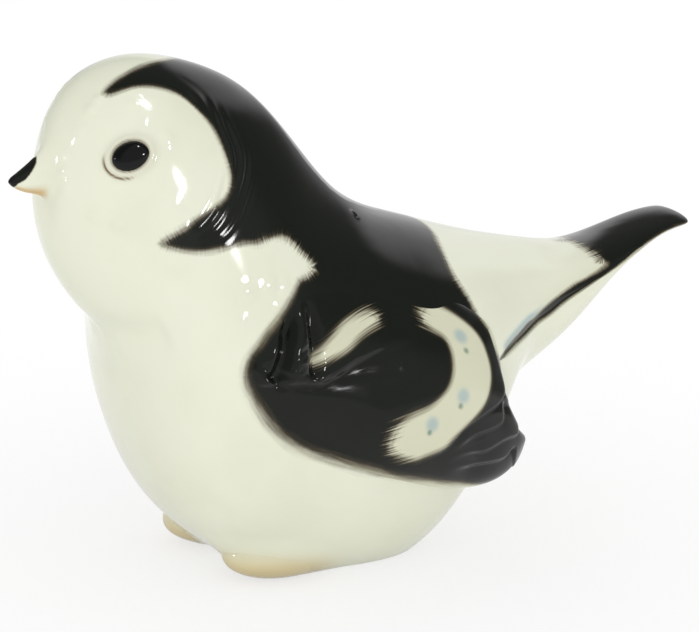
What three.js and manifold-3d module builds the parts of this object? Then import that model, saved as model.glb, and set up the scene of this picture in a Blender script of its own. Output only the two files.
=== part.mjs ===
// Glazed porcelain figurine of a plump snow bunting, standing on a flat base.
// The body is slip-cast as a hollow shell; the beak, tail, wings, feet, eye pellets and base plate are
// made apart and luted on with slip before firing, so nothing moves.
// Millimetres, +Z up, beak towards -X, the bird's left side towards -Y, origin in the base's underside.
import * as THREE from 'three';
import { mergeVertices } from 'three/addons/utils/BufferGeometryUtils.js';
import Module from 'manifold-3d';

// Overall size of the bird's skin, from beak to tail, over the crown and across the flanks
const BIRD_LENGTH = 125.6;
const BIRD_HEIGHT = 86.4;
const BIRD_WIDTH = 54.0;

// Shell and luted joints
const WALL = 3.2;
const LUTE_GAP = 0.3;
const VENT_DIAMETER = 0.9;

// Base plate, set in a rebate inside the foot ring
const FOOT_RING_WIDTH = 4.5;
const LEDGE_WIDTH = 1.8;
const LEDGE_THICKNESS = 1.6;
const PLATE_THICKNESS = 2.2;

// Eye pellets, half sunk in the head
const EYE_LENGTH = 6.0;
const EYE_HEIGHT = 4.7;
const EYE_PROUD = 0.9;
const EYE_TILT = 0.15;

// Toe pads under the breast, just clear of the ground
const FOOT_LENGTH = 15.0;
const FOOT_WIDTH = 10.4;
const FOOT_HEIGHT = 6.4;
const FOOT_LIFT = 0.2;
const FOOT_REACH = 6.5;
const FOOT_SPREAD = 21.0;

// Wings: how far the parts of the relief stand off the flank
const WING_RIM = 0.6;
const WING_PROUD = 2.2;
const WING_TIP_PROUD = 5.4;
const WING_EDGE_ROUND = 0.22;
const FEATHER_STEP = 0.55;
const COVERT_GROOVE_DEPTH = 0.8;

// The outer skin as drawn, one cross-section a row from the beak's tip to the tail's end: the point on
// the back line (x, z), the point on the belly line (x, z), half the width, and how far the widest place
// drops towards the belly. Rows that dip below z = 0 are cut flat there to make the base.
const DRAWN_SECTIONS = [
  [-55.2, 69.4, -55.2, 68.6, 0.5, 0],
  [-52.6, 70.8, -52.4, 67.0, 1.7, 0],
  [-49.4, 73.2, -49.2, 65.6, 2.8, 0],
  [-47.6, 76.2, -49.0, 62.2, 5.4, 0],
  [-44.6, 80.8, -48.4, 57.2, 9.4, -0.1],
  [-39.6, 84.8, -45.8, 51.2, 13.6, -0.1],
  [-32.0, 86.4, -41.4, 44.5, 16.8, 0],
  [-23.4, 84.5, -37.6, 37.2, 18.8, 0.2],
  [-15.6, 80.6, -36.0, 28.8, 21.2, 0.4],
  [-9.4, 74.8, -33.0, 19.5, 23.6, 0.5],
  [-3.8, 67.6, -27.6, 9.5, 25.6, 0.5],
  [2.0, 61.0, -19.6, 2.6, 26.6, 0.3],
  [9.0, 56.4, -10.0, -2.4, 27.0, 0.05],
  [17.0, 53.3, 1.0, -5.0, 26.0, -0.12],
  [25.0, 50.4, 11.0, -4.0, 23.0, -0.18],
  [33.0, 47.9, 19.5, 4.0, 18.0, -0.2],
  [40.5, 46.0, 27.0, 18.0, 13.4, -0.2],
  [47.0, 44.7, 39.2, 27.4, 11.6, 0],
  [53.5, 44.5, 49.6, 36.0, 9.4, 0],
  [59.5, 45.4, 58.0, 41.8, 7.6, 0],
  [65.0, 46.5, 64.2, 44.4, 6.4, 0],
  [69.0, 47.0, 68.8, 44.9, 5.5, 0],
  [70.4, 46.6, 70.3, 45.5, 4.4, 0],
];

// The drawing stretched to the overall size.
const spanOf = (values) => Math.max(...values) - Math.min(...values);
const STRETCH = {
  x: BIRD_LENGTH / spanOf(DRAWN_SECTIONS.flatMap((row) => [row[0], row[2]])),
  y: BIRD_WIDTH / 2 / Math.max(...DRAWN_SECTIONS.map((row) => row[4])),
  z: BIRD_HEIGHT / Math.max(...DRAWN_SECTIONS.map((row) => row[1])),
};
const SECTIONS = DRAWN_SECTIONS.map(([backX, backZ, bellyX, bellyZ, half, drop]) => [
  backX * STRETCH.x, backZ * STRETCH.z, bellyX * STRETCH.x, bellyZ * STRETCH.z, half * STRETCH.y, drop,
]);

// Places on the skin: a station is a row number above, and girth runs from the back line (0) down the
// left side to the belly line (1), and up the right side to 2.
const BEAK_ROOT = 2;
const TAIL_ROOT = 17;
const CAVITY_FRONT = 4;
const CAVITY_REAR = 16;
const EYE_AT = [5.16, 0.39];
const VENT_AT = [11.12, 0.115];
const WING_UPPER_EDGE = [
  [8.7, 0.53], [8.85, 0.45], [9.2, 0.36], [9.9, 0.29], [11.0, 0.245], [12.2, 0.25],
  [13.3, 0.285], [13.95, 0.35], [14.25, 0.43], [14.6, 0.515], [15.05, 0.6],
];
const WING_LOWER_EDGE = [
  [8.7, 0.53], [9.2, 0.55], [10.0, 0.545], [10.9, 0.545], [11.9, 0.572],
  [13.0, 0.612], [14.0, 0.645], [14.75, 0.66], [15.05, 0.6],
];

// Wing relief, in shares of the wing's length (front to tip) and of its depth (upper to lower edge);
// columns count the lengthwise lines, which are drawn together towards the tip
const COVERT_END = 0.87;
const COVERT_SWEEP = 0.3;
const COVERT_COLUMN = 0.5;
const PRIMARY_COLUMNS = [0.66, 0.8];
const COVERT_GROOVES = [0.1, 0.165];
const GROOVE_HALF_WIDTH = 0.024;
const GROOVE_FADE = [0.45, 0.7];
const UPPER_FADE = 0.5;
const FRONT_FADE = 0.25;
const TIP_RISE = [0.5, 0.95];
const TIP_RISE_ACROSS = [0.2, 0.6];
const TIP_ROUND = 0.1;
const FEATHER_EDGE = 0.006;

// Facets
const SKIN_SIDES = 44;
const RINGS_PER_STATION = 3;
const CAVITY_SIDES = 26;
const WING_ROWS = 11;
const WING_COLUMNS = 20;
const PELLET_SEGMENTS = 20;
const PAD_SEGMENTS = 22;
const VENT_SIDES = 16;
const OUTLINE_POINTS = 20;

const GLAZED_WHITE = 0xe6ebd8;
const GLAZED_BLACK = 0x2a2d29;
const EYE_BLACK = 0x14120f;
const TOE_TAN = 0xcdbd94;
const BISCUIT = 0xd9d2bf;

const wasm = await Module();
wasm.setup();

const LAST = SECTIONS.length - 1;
const { lerp, smoothstep } = THREE.MathUtils;
const splineOf = (points) => new THREE.CatmullRomCurve3(points, false, 'catmullrom', 0.5);
const backLine = splineOf(SECTIONS.map((row) => new THREE.Vector3(row[0], 0, row[1])));
const bellyLine = splineOf(SECTIONS.map((row) => new THREE.Vector3(row[2], 0, row[3])));
const widthLine = splineOf(SECTIONS.map((row) => new THREE.Vector3(row[4], row[5], 0)));

function sectionAt(station) {
  const share = station / LAST;
  const width = widthLine.getPoint(share);
  return { back: backLine.getPoint(share), belly: bellyLine.getPoint(share), half: width.x, drop: width.y };
}

// A point of the skin.
function skinPoint(station, girth) {
  const { back, belly, half, drop } = sectionAt(station);
  const depth = (1 - Math.cos(girth * Math.PI)) / 2;
  const point = back.clone().lerp(belly, depth + drop * depth * (1 - depth));
  point.y = -half * Math.sin(girth * Math.PI);
  return point;
}

function skinNormal(station, girth) {
  const step = 0.01;
  const lengthwise = skinPoint(station + step, girth).sub(skinPoint(station - step, girth));
  const round = skinPoint(station, girth + step).sub(skinPoint(station, girth - step));
  return round.cross(lengthwise).normalize();
}

// A point at a height above the skin, or below it where the height is negative.
function pointAbove(station, girth, height) {
  const point = skinPoint(station, girth);
  return height === 0 ? point : point.addScaledVector(skinNormal(station, girth), height);
}

// The change of station that moves a section by a distance.
function stationsFor(distance, station) {
  const middle = (at) => skinPoint(at, 0).add(skinPoint(at, 1)).multiplyScalar(0.5);
  return distance / middle(station - 0.5).distanceTo(middle(station + 0.5));
}

function indexed(points, faces) {
  const geometry = new THREE.BufferGeometry();
  geometry.setAttribute('position', new THREE.Float32BufferAttribute(points.flatMap((p) => p.toArray()), 3));
  geometry.setIndex(faces.flat());
  return geometry;
}

// A closed length of skin between two stations, grown outwards by a height.
function loft(from, to, height, sides) {
  const rings = Math.max(2, Math.round((to - from) * RINGS_PER_STATION));
  const points = [];
  const faces = [];
  const at = (ring, side) => ring * sides + (side % sides);
  for (let ring = 0; ring <= rings; ring++) {
    const station = lerp(from, to, ring / rings);
    for (let side = 0; side < sides; side++) points.push(pointAbove(station, (2 * side) / sides, height));
  }
  for (let ring = 0; ring < rings; ring++) {
    for (let side = 0; side < sides; side++) {
      faces.push([at(ring, side), at(ring, side + 1), at(ring + 1, side + 1)]);
      faces.push([at(ring, side), at(ring + 1, side + 1), at(ring + 1, side)]);
    }
  }
  const frontCentre = points.length;
  points.push(skinPoint(from, 0).lerp(skinPoint(from, 1), 0.5));
  points.push(skinPoint(to, 0).lerp(skinPoint(to, 1), 0.5));
  for (let side = 0; side < sides; side++) {
    faces.push([frontCentre, at(0, side + 1), at(0, side)]);
    faces.push([frontCentre + 1, at(rings, side), at(rings, side + 1)]);
  }
  return indexed(points, faces);
}

function solidOf(geometry) {
  const bare = geometry.clone();
  bare.deleteAttribute('normal');
  bare.deleteAttribute('uv');
  const merged = mergeVertices(bare, 1e-4);
  return new wasm.Manifold(new wasm.Mesh({
    numProp: 3,
    vertProperties: new Float32Array(merged.attributes.position.array),
    triVerts: new Uint32Array(merged.index.array),
  }));
}

function geometryOf(solid) {
  const mesh = solid.getMesh();
  const geometry = new THREE.BufferGeometry();
  geometry.setAttribute('position', new THREE.Float32BufferAttribute(mesh.vertProperties, 3));
  geometry.setIndex(Array.from(mesh.triVerts));
  return geometry;
}

// Everything above a level, as a block that clears the bird on all sides.
function blockAbove(level) {
  const box = new THREE.Box3().setFromPoints(SECTIONS.flatMap((row, station) => [
    skinPoint(station, 0), skinPoint(station, 0.5), skinPoint(station, 1), skinPoint(station, 1.5),
  ]));
  const size = box.getSize(new THREE.Vector3()).multiplyScalar(2);
  const middle = box.getCenter(new THREE.Vector3());
  const block = new THREE.BoxGeometry(size.x, size.y, size.z);
  return solidOf(block.translate(middle.x, middle.y, level + size.z / 2));
}

// Where the skin crosses the ground, as one point of the base's outline at a station.
function groundPoint(station) {
  const { back, belly, half, drop } = sectionAt(station);
  const along = back.z / (back.z - belly.z);
  const slope = 1 + drop;
  const root = Math.sqrt(Math.max(0, slope * slope - 4 * drop * along));
  const depth = Math.abs(drop) < 1e-6 ? along : (slope - root) / (2 * drop);
  const side = 2 * half * Math.sqrt(Math.max(0, depth * (1 - depth)));
  return new THREE.Vector2(lerp(back.x, belly.x, along), side);
}

function groundCrossing(above, below) {
  for (let halving = 0; halving < 40; halving++) {
    const middle = (above + below) / 2;
    if (sectionAt(middle).belly.z > 0) above = middle;
    else below = middle;
  }
  return below;
}

function baseOutline() {
  const lowest = SECTIONS.reduce((best, row, station) => (row[3] < SECTIONS[best][3] ? station : best), 0);
  const front = groundCrossing(BEAK_ROOT, lowest);
  const rear = groundCrossing(TAIL_ROOT, lowest);
  const side = [];
  for (let k = 0; k <= OUTLINE_POINTS; k++) {
    side.push(groundPoint(lerp(front, rear, (1 - Math.cos((Math.PI * k) / OUTLINE_POINTS)) / 2)));
  }
  const otherSide = side.slice(1, -1).reverse().map((p) => new THREE.Vector2(p.x, -p.y));
  return [...side, ...otherSide];
}

const BASE_OUTLINE = baseOutline();
const BASE_BOX = new THREE.Box2().setFromPoints(BASE_OUTLINE);

// The base's outline drawn in by a margin and raised into a flat plug.
function basePlug(margin, low, high) {
  const middle = BASE_BOX.getCenter(new THREE.Vector2());
  const size = BASE_BOX.getSize(new THREE.Vector2());
  const shrink = new THREE.Vector2(1 - (2 * margin) / size.x, 1 - (2 * margin) / size.y);
  const outline = BASE_OUTLINE.map((p) => p.clone().sub(middle).multiply(shrink).add(middle));
  const straightUp = { depth: high - low, bevelEnabled: false };
  return new THREE.ExtrudeGeometry(new THREE.Shape(outline), straightUp).translate(0, 0, low);
}

// Axes standing on the skin: x towards the tail, y up over the back, z straight out; mirrored on the right.
function skinAxes([station, girth], side) {
  const place = skinPoint(station, side < 0 ? girth : 2 - girth);
  const out = skinNormal(station, side < 0 ? girth : 2 - girth);
  const rearward = new THREE.Vector3(1, 0, 0).addScaledVector(out, -out.x).normalize();
  return new THREE.Matrix4().makeBasis(rearward, out.clone().cross(rearward), out).setPosition(place);
}

function eyePellet(side, clearance) {
  const pellet = new THREE.SphereGeometry(1, PELLET_SEGMENTS, PELLET_SEGMENTS / 2);
  pellet.scale(EYE_LENGTH / 2 + clearance, EYE_HEIGHT / 2 + clearance, EYE_PROUD + clearance);
  pellet.rotateZ(-side * EYE_TILT);
  return solidOf(pellet.applyMatrix4(skinAxes(EYE_AT, side)));
}

function ventPin() {
  const pin = new THREE.CylinderGeometry(VENT_DIAMETER / 2, VENT_DIAMETER / 2, 4 * WALL, VENT_SIDES);
  pin.rotateX(Math.PI / 2);
  return solidOf(pin.applyMatrix4(skinAxes(VENT_AT, -1)));
}

// Hollow head and body: the skin less its cavity, the rebated base opening, the vent and the eye sockets.
function bodyShell() {
  const front = BEAK_ROOT + stationsFor(LUTE_GAP / 2, BEAK_ROOT);
  const rear = TAIL_ROOT - stationsFor(LUTE_GAP / 2, TAIL_ROOT);
  const ledgeLevel = PLATE_THICKNESS + LUTE_GAP;
  const floorLevel = ledgeLevel + LEDGE_THICKNESS;
  const inside = solidOf(loft(CAVITY_FRONT, CAVITY_REAR, -WALL, CAVITY_SIDES));
  const cavity = inside.intersect(blockAbove(floorLevel));
  const rebate = basePlug(FOOT_RING_WIDTH, -LEDGE_THICKNESS, ledgeLevel);
  const opening = basePlug(FOOT_RING_WIDTH + LEDGE_WIDTH, 0, floorLevel + LEDGE_THICKNESS);
  return solidOf(loft(front, rear, 0, SKIN_SIDES))
    .intersect(blockAbove(0))
    .subtract(cavity)
    .subtract(solidOf(rebate))
    .subtract(solidOf(opening))
    .subtract(ventPin())
    .subtract(eyePellet(-1, LUTE_GAP))
    .subtract(eyePellet(1, LUTE_GAP));
}

function basePlate() {
  return basePlug(FOOT_RING_WIDTH + LUTE_GAP, 0, PLATE_THICKNESS);
}

function beak() {
  return loft(0, BEAK_ROOT - stationsFor(LUTE_GAP / 2, BEAK_ROOT), 0, SKIN_SIDES / 2);
}

function tail() {
  return loft(TAIL_ROOT + stationsFor(LUTE_GAP / 2, TAIL_ROOT), LAST, 0, SKIN_SIDES);
}

// Toe pad: a flattened egg, hollowed to the breast above it.
function foot(side) {
  const pad = new THREE.SphereGeometry(1, PAD_SEGMENTS, PAD_SEGMENTS / 2);
  pad.scale(FOOT_LENGTH / 2, FOOT_WIDTH / 2, FOOT_HEIGHT / 2);
  const toeEnd = BASE_BOX.min.x - FOOT_REACH;
  pad.translate(toeEnd + FOOT_LENGTH / 2, (side * FOOT_SPREAD) / 2, FOOT_LIFT + FOOT_HEIGHT / 2);
  const breast = solidOf(loft(BEAK_ROOT, TAIL_ROOT, LUTE_GAP, SKIN_SIDES));
  return solidOf(pad).subtract(breast);
}

// Shares of the wing's length where columns of points stand, with a close pair at each feather's edge
// and three at each groove.
function wingColumns() {
  const even = Array.from({ length: WING_COLUMNS + 1 }, (_, k) => k / WING_COLUMNS);
  const edges = [COVERT_COLUMN, ...PRIMARY_COLUMNS].flatMap((at) => [at - FEATHER_EDGE, at + FEATHER_EDGE]);
  const grooves = COVERT_GROOVES.flatMap((at) => [at - GROOVE_HALF_WIDTH, at, at + GROOVE_HALF_WIDTH]);
  const marked = [...edges, ...grooves, 1 - TIP_ROUND / 4];
  const clear = even.filter((at) => marked.every((mark) => Math.abs(at - mark) > FEATHER_EDGE));
  return [...clear, ...marked].sort((a, b) => a - b);
}

// How far the wing stands off the flank: a crown that is steep at the lower edge and fades at the upper
// one, stepped down at each feather's edge and grooved between the front coverts.
function wingHeight(column, v) {
  const u = wingLength(column, v);
  const lowerRound = v < 1 - WING_EDGE_ROUND ? 1 : Math.sqrt(1 - ((v - 1) / WING_EDGE_ROUND + 1) ** 2);
  const across = smoothstep(v, 0, UPPER_FADE) * lowerRound;
  const tipRound = Math.sqrt(Math.max(0, 1 - smoothstep(u, 1 - TIP_ROUND, 1) ** 2));
  const lengthwise = smoothstep(u, 0, FRONT_FADE) * tipRound;
  const steps = [COVERT_COLUMN, ...PRIMARY_COLUMNS].filter((share) => column > share).length;
  const rise = smoothstep(u, ...TIP_RISE) * smoothstep(v, ...TIP_RISE_ACROSS);
  const crown = lerp(WING_PROUD, WING_TIP_PROUD, rise) - steps * FEATHER_STEP;
  const groove = Math.max(0, ...COVERT_GROOVES.map((g) => 1 - Math.abs(column - g) / GROOVE_HALF_WIDTH));
  const cut = groove * COVERT_GROOVE_DEPTH * (1 - smoothstep(v, ...GROOVE_FADE));
  return WING_RIM + Math.max(0, (crown - WING_RIM) * across * lengthwise - cut);
}

// The coverts' rear edge sweeps forward towards the lower edge, and the columns follow it.
function wingLength(column, v) {
  const covertEdge = COVERT_END - COVERT_SWEEP * v * v;
  if (column < COVERT_COLUMN) return (column / COVERT_COLUMN) * covertEdge;
  return lerp(covertEdge, 1, (column - COVERT_COLUMN) / (1 - COVERT_COLUMN));
}

function wing(side) {
  const edgeOf = (places) => new THREE.SplineCurve(places.map((place) => new THREE.Vector2(...place)));
  const upper = edgeOf(WING_UPPER_EDGE);
  const lower = edgeOf(WING_LOWER_EDGE);
  const columns = wingColumns();
  const points = [];
  const faces = [];
  const pointAt = (column, v, height) => {
    const u = wingLength(column, v);
    const place = upper.getPoint(u).lerp(lower.getPoint(u), v);
    const girth = side < 0 ? place.y : 2 - place.y;
    return pointAbove(place.x, girth, LUTE_GAP + height);
  };
  const stride = WING_ROWS + 1;
  for (const face of [0, 1]) {
    for (const column of columns) {
      for (let row = 0; row < stride; row++) {
        const v = Math.sin((row / WING_ROWS) * (Math.PI / 2));
        points.push(pointAt(column, v, face * wingHeight(column, v)));
      }
    }
  }
  const sheet = columns.length * stride;
  const quad = (a, b, c, d) => {
    if (side < 0) faces.push([a, b, c], [a, c, d]);
    else faces.push([a, c, b], [a, d, c]);
  };
  const at = (face, column, row) => face * sheet + column * stride + row;
  for (let c = 0; c < columns.length - 1; c++) {
    for (let r = 0; r < WING_ROWS; r++) {
      quad(at(1, c, r), at(1, c, r + 1), at(1, c + 1, r + 1), at(1, c + 1, r));
      quad(at(0, c, r), at(0, c + 1, r), at(0, c + 1, r + 1), at(0, c, r + 1));
    }
    quad(at(0, c, 0), at(1, c, 0), at(1, c + 1, 0), at(0, c + 1, 0));
    quad(at(1, c, WING_ROWS), at(0, c, WING_ROWS), at(0, c + 1, WING_ROWS), at(1, c + 1, WING_ROWS));
  }
  return solidOf(indexed(points, faces));
}

const glazed = (color) => new THREE.MeshStandardMaterial({ color, roughness: 0.12, metalness: 0 });
const unglazed = (color) => new THREE.MeshStandardMaterial({ color, roughness: 0.6, metalness: 0 });
const bird = new THREE.Group();

function add(name, geometry, material) {
  const mesh = new THREE.Mesh(geometry, material);
  geometry.computeVertexNormals();
  mesh.name = name;
  bird.add(mesh);
}

add('body_shell', geometryOf(bodyShell()), glazed(GLAZED_WHITE));
add('base_plate', basePlate(), unglazed(BISCUIT));
add('beak', beak(), glazed(GLAZED_BLACK));
add('tail', tail(), glazed(GLAZED_BLACK));
for (const [name, side] of [['left', -1], ['right', 1]]) {
  add(`${name}_wing`, geometryOf(wing(side)), glazed(GLAZED_BLACK));
  add(`${name}_eye`, geometryOf(eyePellet(side, 0)), glazed(EYE_BLACK));
  add(`${name}_foot`, geometryOf(foot(side)), glazed(TOE_TAN));
}

export default bird;
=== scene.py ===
"""Looks of a glazed porcelain snow bunting, modelled round its CAD frame.

Lengths are millimetres, as in the drawing, and MM turns them into metres. The stage is in metres.
A place on the bird is a station (a row number of SECTIONS, counted from the beak's tip) and a girth
(0 on the back line, down the left side to 1 on the belly line, and up the right side to 2).
A place on a wing is a share of its length (front to tip) and of its depth (upper to lower edge).
"""
import math

import bpy
import numpy as np
from mathutils import Matrix, Vector
from mathutils.kdtree import KDTree


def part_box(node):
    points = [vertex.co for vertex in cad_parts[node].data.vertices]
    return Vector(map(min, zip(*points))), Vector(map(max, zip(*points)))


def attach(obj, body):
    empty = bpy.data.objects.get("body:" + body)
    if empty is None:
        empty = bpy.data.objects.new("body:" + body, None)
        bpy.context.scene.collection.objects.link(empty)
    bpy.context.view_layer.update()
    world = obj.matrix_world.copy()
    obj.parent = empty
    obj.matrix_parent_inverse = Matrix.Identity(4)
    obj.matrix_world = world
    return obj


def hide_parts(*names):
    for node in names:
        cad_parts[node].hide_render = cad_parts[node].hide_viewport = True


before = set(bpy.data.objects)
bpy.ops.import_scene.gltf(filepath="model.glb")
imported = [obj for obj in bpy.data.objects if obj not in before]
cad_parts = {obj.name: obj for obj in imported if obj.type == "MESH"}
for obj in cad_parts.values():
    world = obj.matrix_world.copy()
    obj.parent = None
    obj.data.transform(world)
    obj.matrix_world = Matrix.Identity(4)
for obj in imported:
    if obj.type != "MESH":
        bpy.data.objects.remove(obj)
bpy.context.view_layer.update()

bl_info = {
    "name": "Snow Bunting Figurine",
    "version": (1, 0, 0),
    "blender": (4, 5, 0),
    "location": "View3D > Sidebar > Bunting",
    "description": "Models and glazes a porcelain snow bunting round its CAD frame",
    "category": "Add Mesh",
}

MM = 0.001

# Cross-sections of the skin, beak to tail: the back line (x, z), the belly line (x, z), half the width,
# and how far the widest place drops towards the belly.
SECTIONS = np.array([
    (-55.2, 69.4, -55.2, 68.6, 0.5, 0),
    (-52.6, 70.8, -52.4, 67.0, 1.7, 0),
    (-49.4, 73.2, -49.2, 65.6, 2.7, 0),
    (-47.6, 76.2, -49.0, 62.2, 4.8, 0),
    (-44.6, 80.8, -48.4, 57.2, 8.5, -0.1),
    (-39.6, 84.8, -45.8, 51.2, 13.2, -0.1),
    (-32.0, 86.4, -41.4, 44.5, 16.8, 0),
    (-23.4, 84.5, -37.6, 37.2, 18.8, 0.2),
    (-15.6, 80.6, -36.0, 28.8, 21.2, 0.4),
    (-9.4, 74.8, -33.0, 19.5, 23.6, 0.5),
    (-3.8, 67.6, -27.6, 9.5, 25.6, 0.5),
    (2.0, 61.0, -19.6, 2.6, 26.6, 0.3),
    (9.0, 56.4, -10.0, -2.4, 27.0, 0.05),
    (17.0, 53.3, 1.0, -5.0, 26.0, -0.12),
    (25.0, 50.4, 11.0, -4.0, 23.0, -0.18),
    (33.0, 47.9, 19.5, 4.0, 18.0, -0.2),
    (40.5, 46.0, 27.0, 18.0, 13.4, -0.2),
    (47.0, 44.7, 39.2, 27.4, 11.6, 0),
    (53.5, 44.5, 49.6, 36.0, 9.4, 0),
    (59.5, 45.4, 58.0, 41.8, 7.6, 0),
    (65.0, 46.5, 64.2, 44.4, 6.4, 0),
    (69.0, 47.0, 68.8, 44.9, 5.5, 0),
    (70.4, 46.6, 70.3, 45.5, 4.4, 0),
])
# Stations where the beak and the tail meet the body, and the stations that their ends are rounded over
BEAK_ROOT = 2.0
TAIL_ROOT = 17.0
TAIL_END = len(SECTIONS) - 1.0
BEAK_TIP_ROUND = 0.35
TAIL_TIP_ROUND = 0.8

# Eye: place, tilt and corner (radians), the share that the corner is drawn out, depths, and the distance
# that stands for the far side of the head
EYE_AT = (5.16, 0.39)
EYE_TILT = 0.22
EYE_CORNER = -0.35
EYE_CORNER_OUT = 0.07
EYE_DOME = 1.5
SOCKET_DEPTH = 0.8
FACE_DEPTH = 14.0
FAR_SIDE = 99.0
# Lid: distances from the eye's middle and widths, in eye radii, also for the dark brown line along the
# crease. The brown washes have their cover first.
LID_RIDGE = (1.18, 0.17)
LID_CREASE = (1.44, 0.1)
# A dark brown line along the lower front of the lid's crease
CREASE_BROWN = (1.44, 0.06)
LID_WASHES = [(0.55, 1.0, 0.07), (0.12, 1.25, 0.35)]
CREASE_ANGLE = math.radians(38)
# Barbs behind the cheek, with the distances from the eye where they start, are full, fade and end, and
# the crown's line above them: its height over the eye and how it falls
BARB_SPACING = 1.5
BARB_HEIGHT = 0.17
BARB_BAND = (13, 15, 18, 21)
CROWN_HEIGHT = 11.0
CROWN_FALL = 0.045

VENT_AT = (11.12, 0.115)
VENT_DEPTH = 1.6
VENT_RIM = 0.12

# Edges of a wing on the skin
WING_UPPER_EDGE = [
    (8.7, 0.53), (8.85, 0.45), (9.2, 0.36), (9.9, 0.29), (11.0, 0.245), (12.2, 0.25),
    (13.3, 0.285), (13.95, 0.35), (14.25, 0.43), (14.6, 0.515), (15.05, 0.6),
]
WING_LOWER_EDGE = [
    (8.7, 0.53), (9.2, 0.55), (10.0, 0.545), (10.9, 0.545), (11.9, 0.572),
    (13.0, 0.612), (14.0, 0.645), (14.75, 0.66), (15.05, 0.6),
]
# Feather tufts on brow, cheek, face and breast: the place, the share of the tuft height, and the width
TUFTS = [
    (5.5, 0.19, 0.8, 1.3), (5.35, 0.225, 0.6, 1.1), (5.5, 0.315, 1.1, 1.5), (5.95, 0.325, 1.3, 1.2),
    (6.2, 0.47, 0.9, 1.4), (6.5, 0.5, 1.3, 1.6), (4.6, 0.16, 1.4, 1.0), (4.35, 0.18, 1.4, 1.0),
    (3.8, 0.255, 1.0, 1.4), (3.1, 0.435, 0.8, 1.2), (3.35, 0.51, 1.0, 1.5), (4.55, 0.605, 1.5, 1.2),
    (5.1, 0.595, 1.6, 1.0), (8.3, 0.44, 1.0, 1.3), (8.8, 0.385, 1.1, 1.3), (9.15, 0.36, 1.2, 1.2),
    (8.7, 0.5, 1.1, 1.3), (8.35, 0.485, 1.1, 1.4), (9.1, 0.39, 0.7, 1.0), (8.05, 0.475, 0.7, 1.2),
]
RIGHT_TUFTS = 0.4
THROAT_DEPTH = 0.8
THROAT_WIDTH = 3.2
THROAT_VALLEY = [(6.25, 1.04), (6.25, 0.95), (6.25, 0.9), (6.6, 0.8), (7.1, 0.68)]
TAIL_GROOVE_DEPTH = 0.75
TAIL_GROOVE_WIDTH = 1.2
TAIL_GROOVE = [
    (14.2, 0.405), (14.6, 0.405), (15.1, 0.41), (15.7, 0.435), (16.2, 0.445), (16.5, 0.425),
    (16.9, 0.395), (17.45, 0.39), (17.85, 0.415), (18.3, 0.455), (18.7, 0.51), (19.1, 0.56),
    (19.8, 0.58), (20.9, 0.6), (21.9, 0.62),
]
# Washes: a blue line over the black stripe beside the tail, and ochre under the beak
BLUE_COVER = 0.85
BLUE_WIDTH = 0.6
TAIL_BLUE = [(16.3, 0.355), (15.85, 0.38), (15.5, 0.375), (15.2, 0.365), (14.7, 0.37), (14.25, 0.39)]
OCHRE_COVER = 0.85
OCHRE_GIRTHS = (0.52, 0.85)
OCHRE_STATIONS = (0.25, 0.5, 1.5, 2.3)


def brushed(bristle, blur, *places):
    """A stretch of a painted edge: the length of its bristle marks, and the width of its soft edge."""
    return [(*place, bristle, blur) for place in places]


# Painted edges: stretches, and single places with their own bristle marks and soft edge
MANTLE_EDGE = [
    *brushed(0.1, 0.8, (6.75, 0), (6.45, 0.035), (6.0, 0.065), (5.7, 0.08), (5.4, 0.095), (5.1, 0.11)),
    *brushed(0.3, 0.65, (4.85, 0.13), (4.8, 0.15)),
    *brushed(0.1, 0.6, (4.95, 0.17), (5.35, 0.17), (5.75, 0.175), (6.1, 0.185)),
    *brushed(0.15, 0.5, (6.4, 0.2), (6.65, 0.22)),
    *brushed(0.2, 0.6, (6.9, 0.24), (7.1, 0.265), (7.3, 0.295), (7.4, 0.325), (7.3, 0.36), (7.05, 0.4)),
    (6.75, 0.445, 0.2, 0.7), (6.4, 0.505, 0.3, 0.8), (6.05, 0.57, 0.5, 0.9),
    *brushed(0.15, 0.75, (6.5, 0.545), (7.1, 0.485)),
    (7.85, 0.4, 0.2, 0.7), (8.25, 0.365, 0.35, 0.8), (8.6, 0.33, 0.5, 0.8), (9.0, 0.3, 0.7, 0.8),
    (9.45, 0.29, 0.9, 0.8), (9.75, 0.29, 0.8, 0.8), (9.5, 0.32, 0.5, 0.8), (9.4, 0.335, 0.3, 0.8),
    *brushed(0.15, 0.9, (9.25, 0.375), (9.1, 0.41), (8.95, 0.445), (8.85, 0.475), (8.75, 0.51)),
    (8.85, 0.54, 0.1, 1.0),
    *brushed(0.1, 1.3, (9.15, 0.545), (9.5, 0.545), (9.95, 0.54), (10.55, 0.54), (11.2, 0.55)),
    (11.95, 0.57, 0.1, 1.2), (12.7, 0.59, 0.1, 1.0), (13.5, 0.61, 0.1, 0.8),
    *brushed(0.1, 0.6, (14.2, 0.635), (14.7, 0.645), (14.9, 0.59), (14.5, 0.51), (14.25, 0.45)),
    (14.1, 0.4, 0.2, 0.6), (13.7, 0.335, 0.3, 0.8),
    *brushed(
        0.45, 0.8, (13.4, 0.27), (13.2, 0.23), (13.1, 0.185), (13.15, 0.12), (13.25, 0.06), (13.25, 0)),
]
MANTLE_CLOSING = [(13.25, -0.1), (6.75, -0.1)]
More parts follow.
